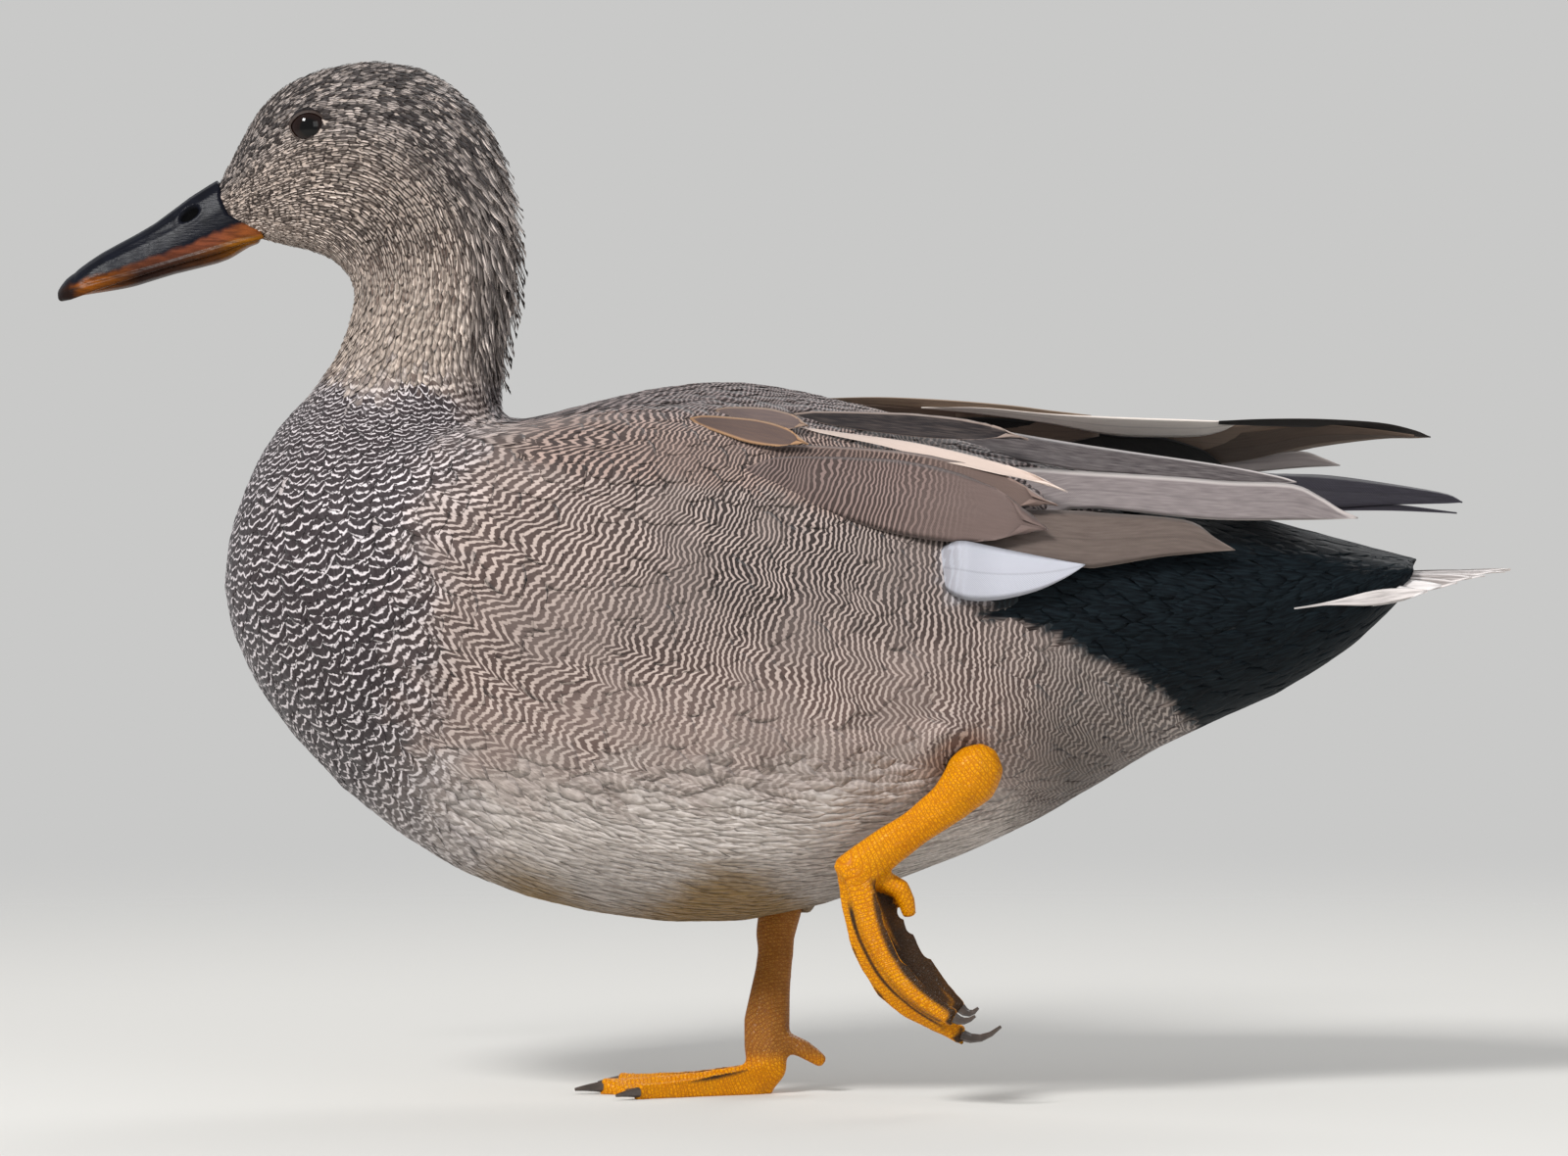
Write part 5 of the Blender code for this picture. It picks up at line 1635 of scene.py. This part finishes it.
for side, label in sides:
    raised = side < 0
    parts = [f"tarsus_{label}", f"foot_{label}", f"hind_toe_{label}"]
    remeshing = (legLook[key] for key in ("voxel", "smoothing"))
    points, faces = fuse(
        f"leg_{label}", parts, *remeshing, scutedLegSkin, legLook["swell"], legLook["settle"]
    )
    surface = Surface(points, faces)
    normals = surface.normals
    thickness = np.empty(len(points))
    for i in range(len(points)):
        hit = surface.tree.ray_cast(Vector(points[i] - normals[i] * 0.0001), Vector(-normals[i]))
        thickness[i] = hit[3] if hit[3] else 0.01
    footLow, footHigh = boxOf(f"foot_{label}")
    tarsusLow, tarsusHigh = boxOf(f"tarsus_{label}")
    if raised:
        knuckle = np.array((footLow[0] + 0.004, (footLow[1] + footHigh[1]) / 2, footHigh[2]))
    else:
        knuckle = np.array((footHigh[0], (tarsusLow[1] + tarsusHigh[1]) / 2 * 0.35, footHigh[2]))
    trees = [treeOf(*gather([part])) for part in parts]
    gaps = np.array([[tree.find_nearest(place)[3] for tree in trees] for place in points.tolist()])
    onFoot = gaps.argmin(axis=1) == 1
    web = (1 - smoothStep(1.5 * mm, legLook["web"] * mm, thickness)) * onFoot
    distance = np.linalg.norm(points - knuckle, axis=1) / mm
    dull = np.zeros(len(points))
    if raised:  # the bent heel is a round knob on a slimmer shank
        heel = tarsusLow + (tarsusHigh - tarsusLow) * (0.86, 0.5, 0.83)
        fromHeel = np.linalg.norm((points - heel)[:, [0, 2]], axis=1) / mm
        knob = legLook["knob"] * np.exp(-((fromHeel / 6.5) ** 4))
        knob = knob - legLook["waist"] * band(9, 24, 4, fromHeel)
        points = points + normals * knob[:, None] * mm
    else:
        # painted shade and dust: the standing leg's shank above the foot is duller than the foot
        dull = 1 - smoothStep(0.011, 0.006, points[:, 2])
    # toe ends close round the claws' roots
    claws = [f"claw_{toe}_{label}" for toe in ("inner", "middle", "outer")]
    toClaws = np.min([distancesTo(treeOf(*gather([claw])), points) for claw in claws], axis=0)
    points = points + normals * (legLook["cuticle"] * mm * np.exp(-((toClaws / mm / 2.0) ** 2)))[:, None]
    if raised:  # folded webs show as dark stripes between the toes
        at = within(points, f"foot_{label}")
        for line, half in legLook["folds"]:
            fold = through(line, np.linspace(0, len(line) - 1, 40))
            middle = np.interp(at[:, 2], fold[::-1, 1], fold[::-1, 0])
            aside = np.abs(at[:, 0] - middle) * (footHigh[0] - footLow[0]) / mm
            shown = band(fold[-1, 1], fold[0, 1], 0.05, at[:, 2]) * onFoot
            web = np.maximum(web, (1 - smoothStep(half * 0.45, half * 1.25, aside)) * shown)
    points[:, 2] = np.maximum(points[:, 2], 0)
    if not raised:
        back = smoothStep(footHigh[0] - 0.008, footHigh[0], points[:, 0])
        back = back * smoothStep(0.0075, 0.0, points[:, 2]) ** 2
        points[:, 0] -= legLook["heel"] * mm * back
    thing = addMesh(f"leg_{label}", points, list(faces), scutedLegSkin)
    setAttribute(thing, "legMap", "FLOAT_VECTOR", np.column_stack([distance, web, dull]))
    asPiece(thing, "leg", *parts)
    for claw in claws:
        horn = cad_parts[claw].data
        horn.materials.clear()
        horn.materials.append(hornClaw)
        horn.polygons.foreach_set("use_smooth", np.full(len(horn.polygons), True))
print("legs")

# camera, light and floor

view = {"x": -0.0002, "z": 0.1217, "distance": 3.2, "elevation": 2.5, "width": 0.368, "sensor": 36}
camera = bpy.data.objects.new("camera", bpy.data.cameras.new("camera"))
bpy.context.scene.collection.objects.link(camera)
rise = math.radians(view["elevation"])
away, up = view["distance"] * math.cos(rise), view["distance"] * math.sin(rise)
camera.location = (view["x"], -away, view["z"] + up)
camera.rotation_euler = (math.pi / 2 - rise, 0, 0)
camera.data.sensor_width = view["sensor"]
camera.data.lens = view["sensor"] * view["distance"] / view["width"]
camera.data.clip_end = 100
bpy.context.scene.camera = camera
bpy.context.scene.view_settings.view_transform = "Standard"

# pale matt paint near the bird gives way to the backdrop further off, so that no edge shows from any side
floorLook = {
    "paint": "#d6d4cf", "backdrop": "#c9c9c8", "solidTo": 0.30, "goneAt": 0.95, "half": 3,
    "sky": "#e6e8ec", "skyStrength": 0.55,
}
floorPaint, add, shader = newMaterial("matPaintedBoard")
feed(shader, {"Base Color": colour(floorLook["paint"]), "Roughness": 0.9, "Specular IOR Level": 0.1})
far = add("VectorMath", [add("TexCoord", out="Object")], "LENGTH", out="Value")
reach = [far, floorLook["solidTo"], floorLook["goneAt"]]
gone = add("MapRange", reach, interpolation_type="SMOOTHSTEP")
shown = add("MixShader", [gone, shader.outputs[0], add("BsdfTransparent")])
feed(floorPaint.node_tree.nodes["Material Output"], {"Surface": shown})
half = floorLook["half"]
corners = [(-half, -half, 0), (half, -half, 0), (half, half, 0), (-half, half, 0)]
addMesh("floor", corners, [(0, 1, 2, 3)], floorPaint, smooth=False)

world = bpy.data.worlds.new("studio")
bpy.context.scene.world = world
world.use_nodes = True
add = partial(node, world.node_tree)
seen = add("LightPath", out="Is Camera Ray")
feed(world.node_tree.nodes["Background"], {
    "Color": add("Mix", {0: seen, 6: colour(floorLook["sky"]), 7: colour(floorLook["backdrop"])}, **inColour),
    "Strength": add("Mix", {0: seen, 2: floorLook["skyStrength"], 3: 1.0}),
})

lampLook = {  # where each soft light stands, how large it is in metres, and its power in watts
    "key": ((-0.9, -1.3, 1.35), 0.45, 38),
    "fill": ((1.2, -1.4, 0.6), 1.0, 6),
    "rim": ((0.6, 1.5, 1.2), 0.8, 12),
}
lampAim = Vector((0, 0, 0.12))
for name, (place, size, power) in lampLook.items():
    lamp = bpy.data.objects.new(name, bpy.data.lights.new(name, "AREA"))
    bpy.context.scene.collection.objects.link(lamp)
    lamp.location = place
    lamp.rotation_euler = (lampAim - Vector(place)).to_track_quat("-Z", "Y").to_euler()
    lamp.data.size = size
    lamp.data.energy = power
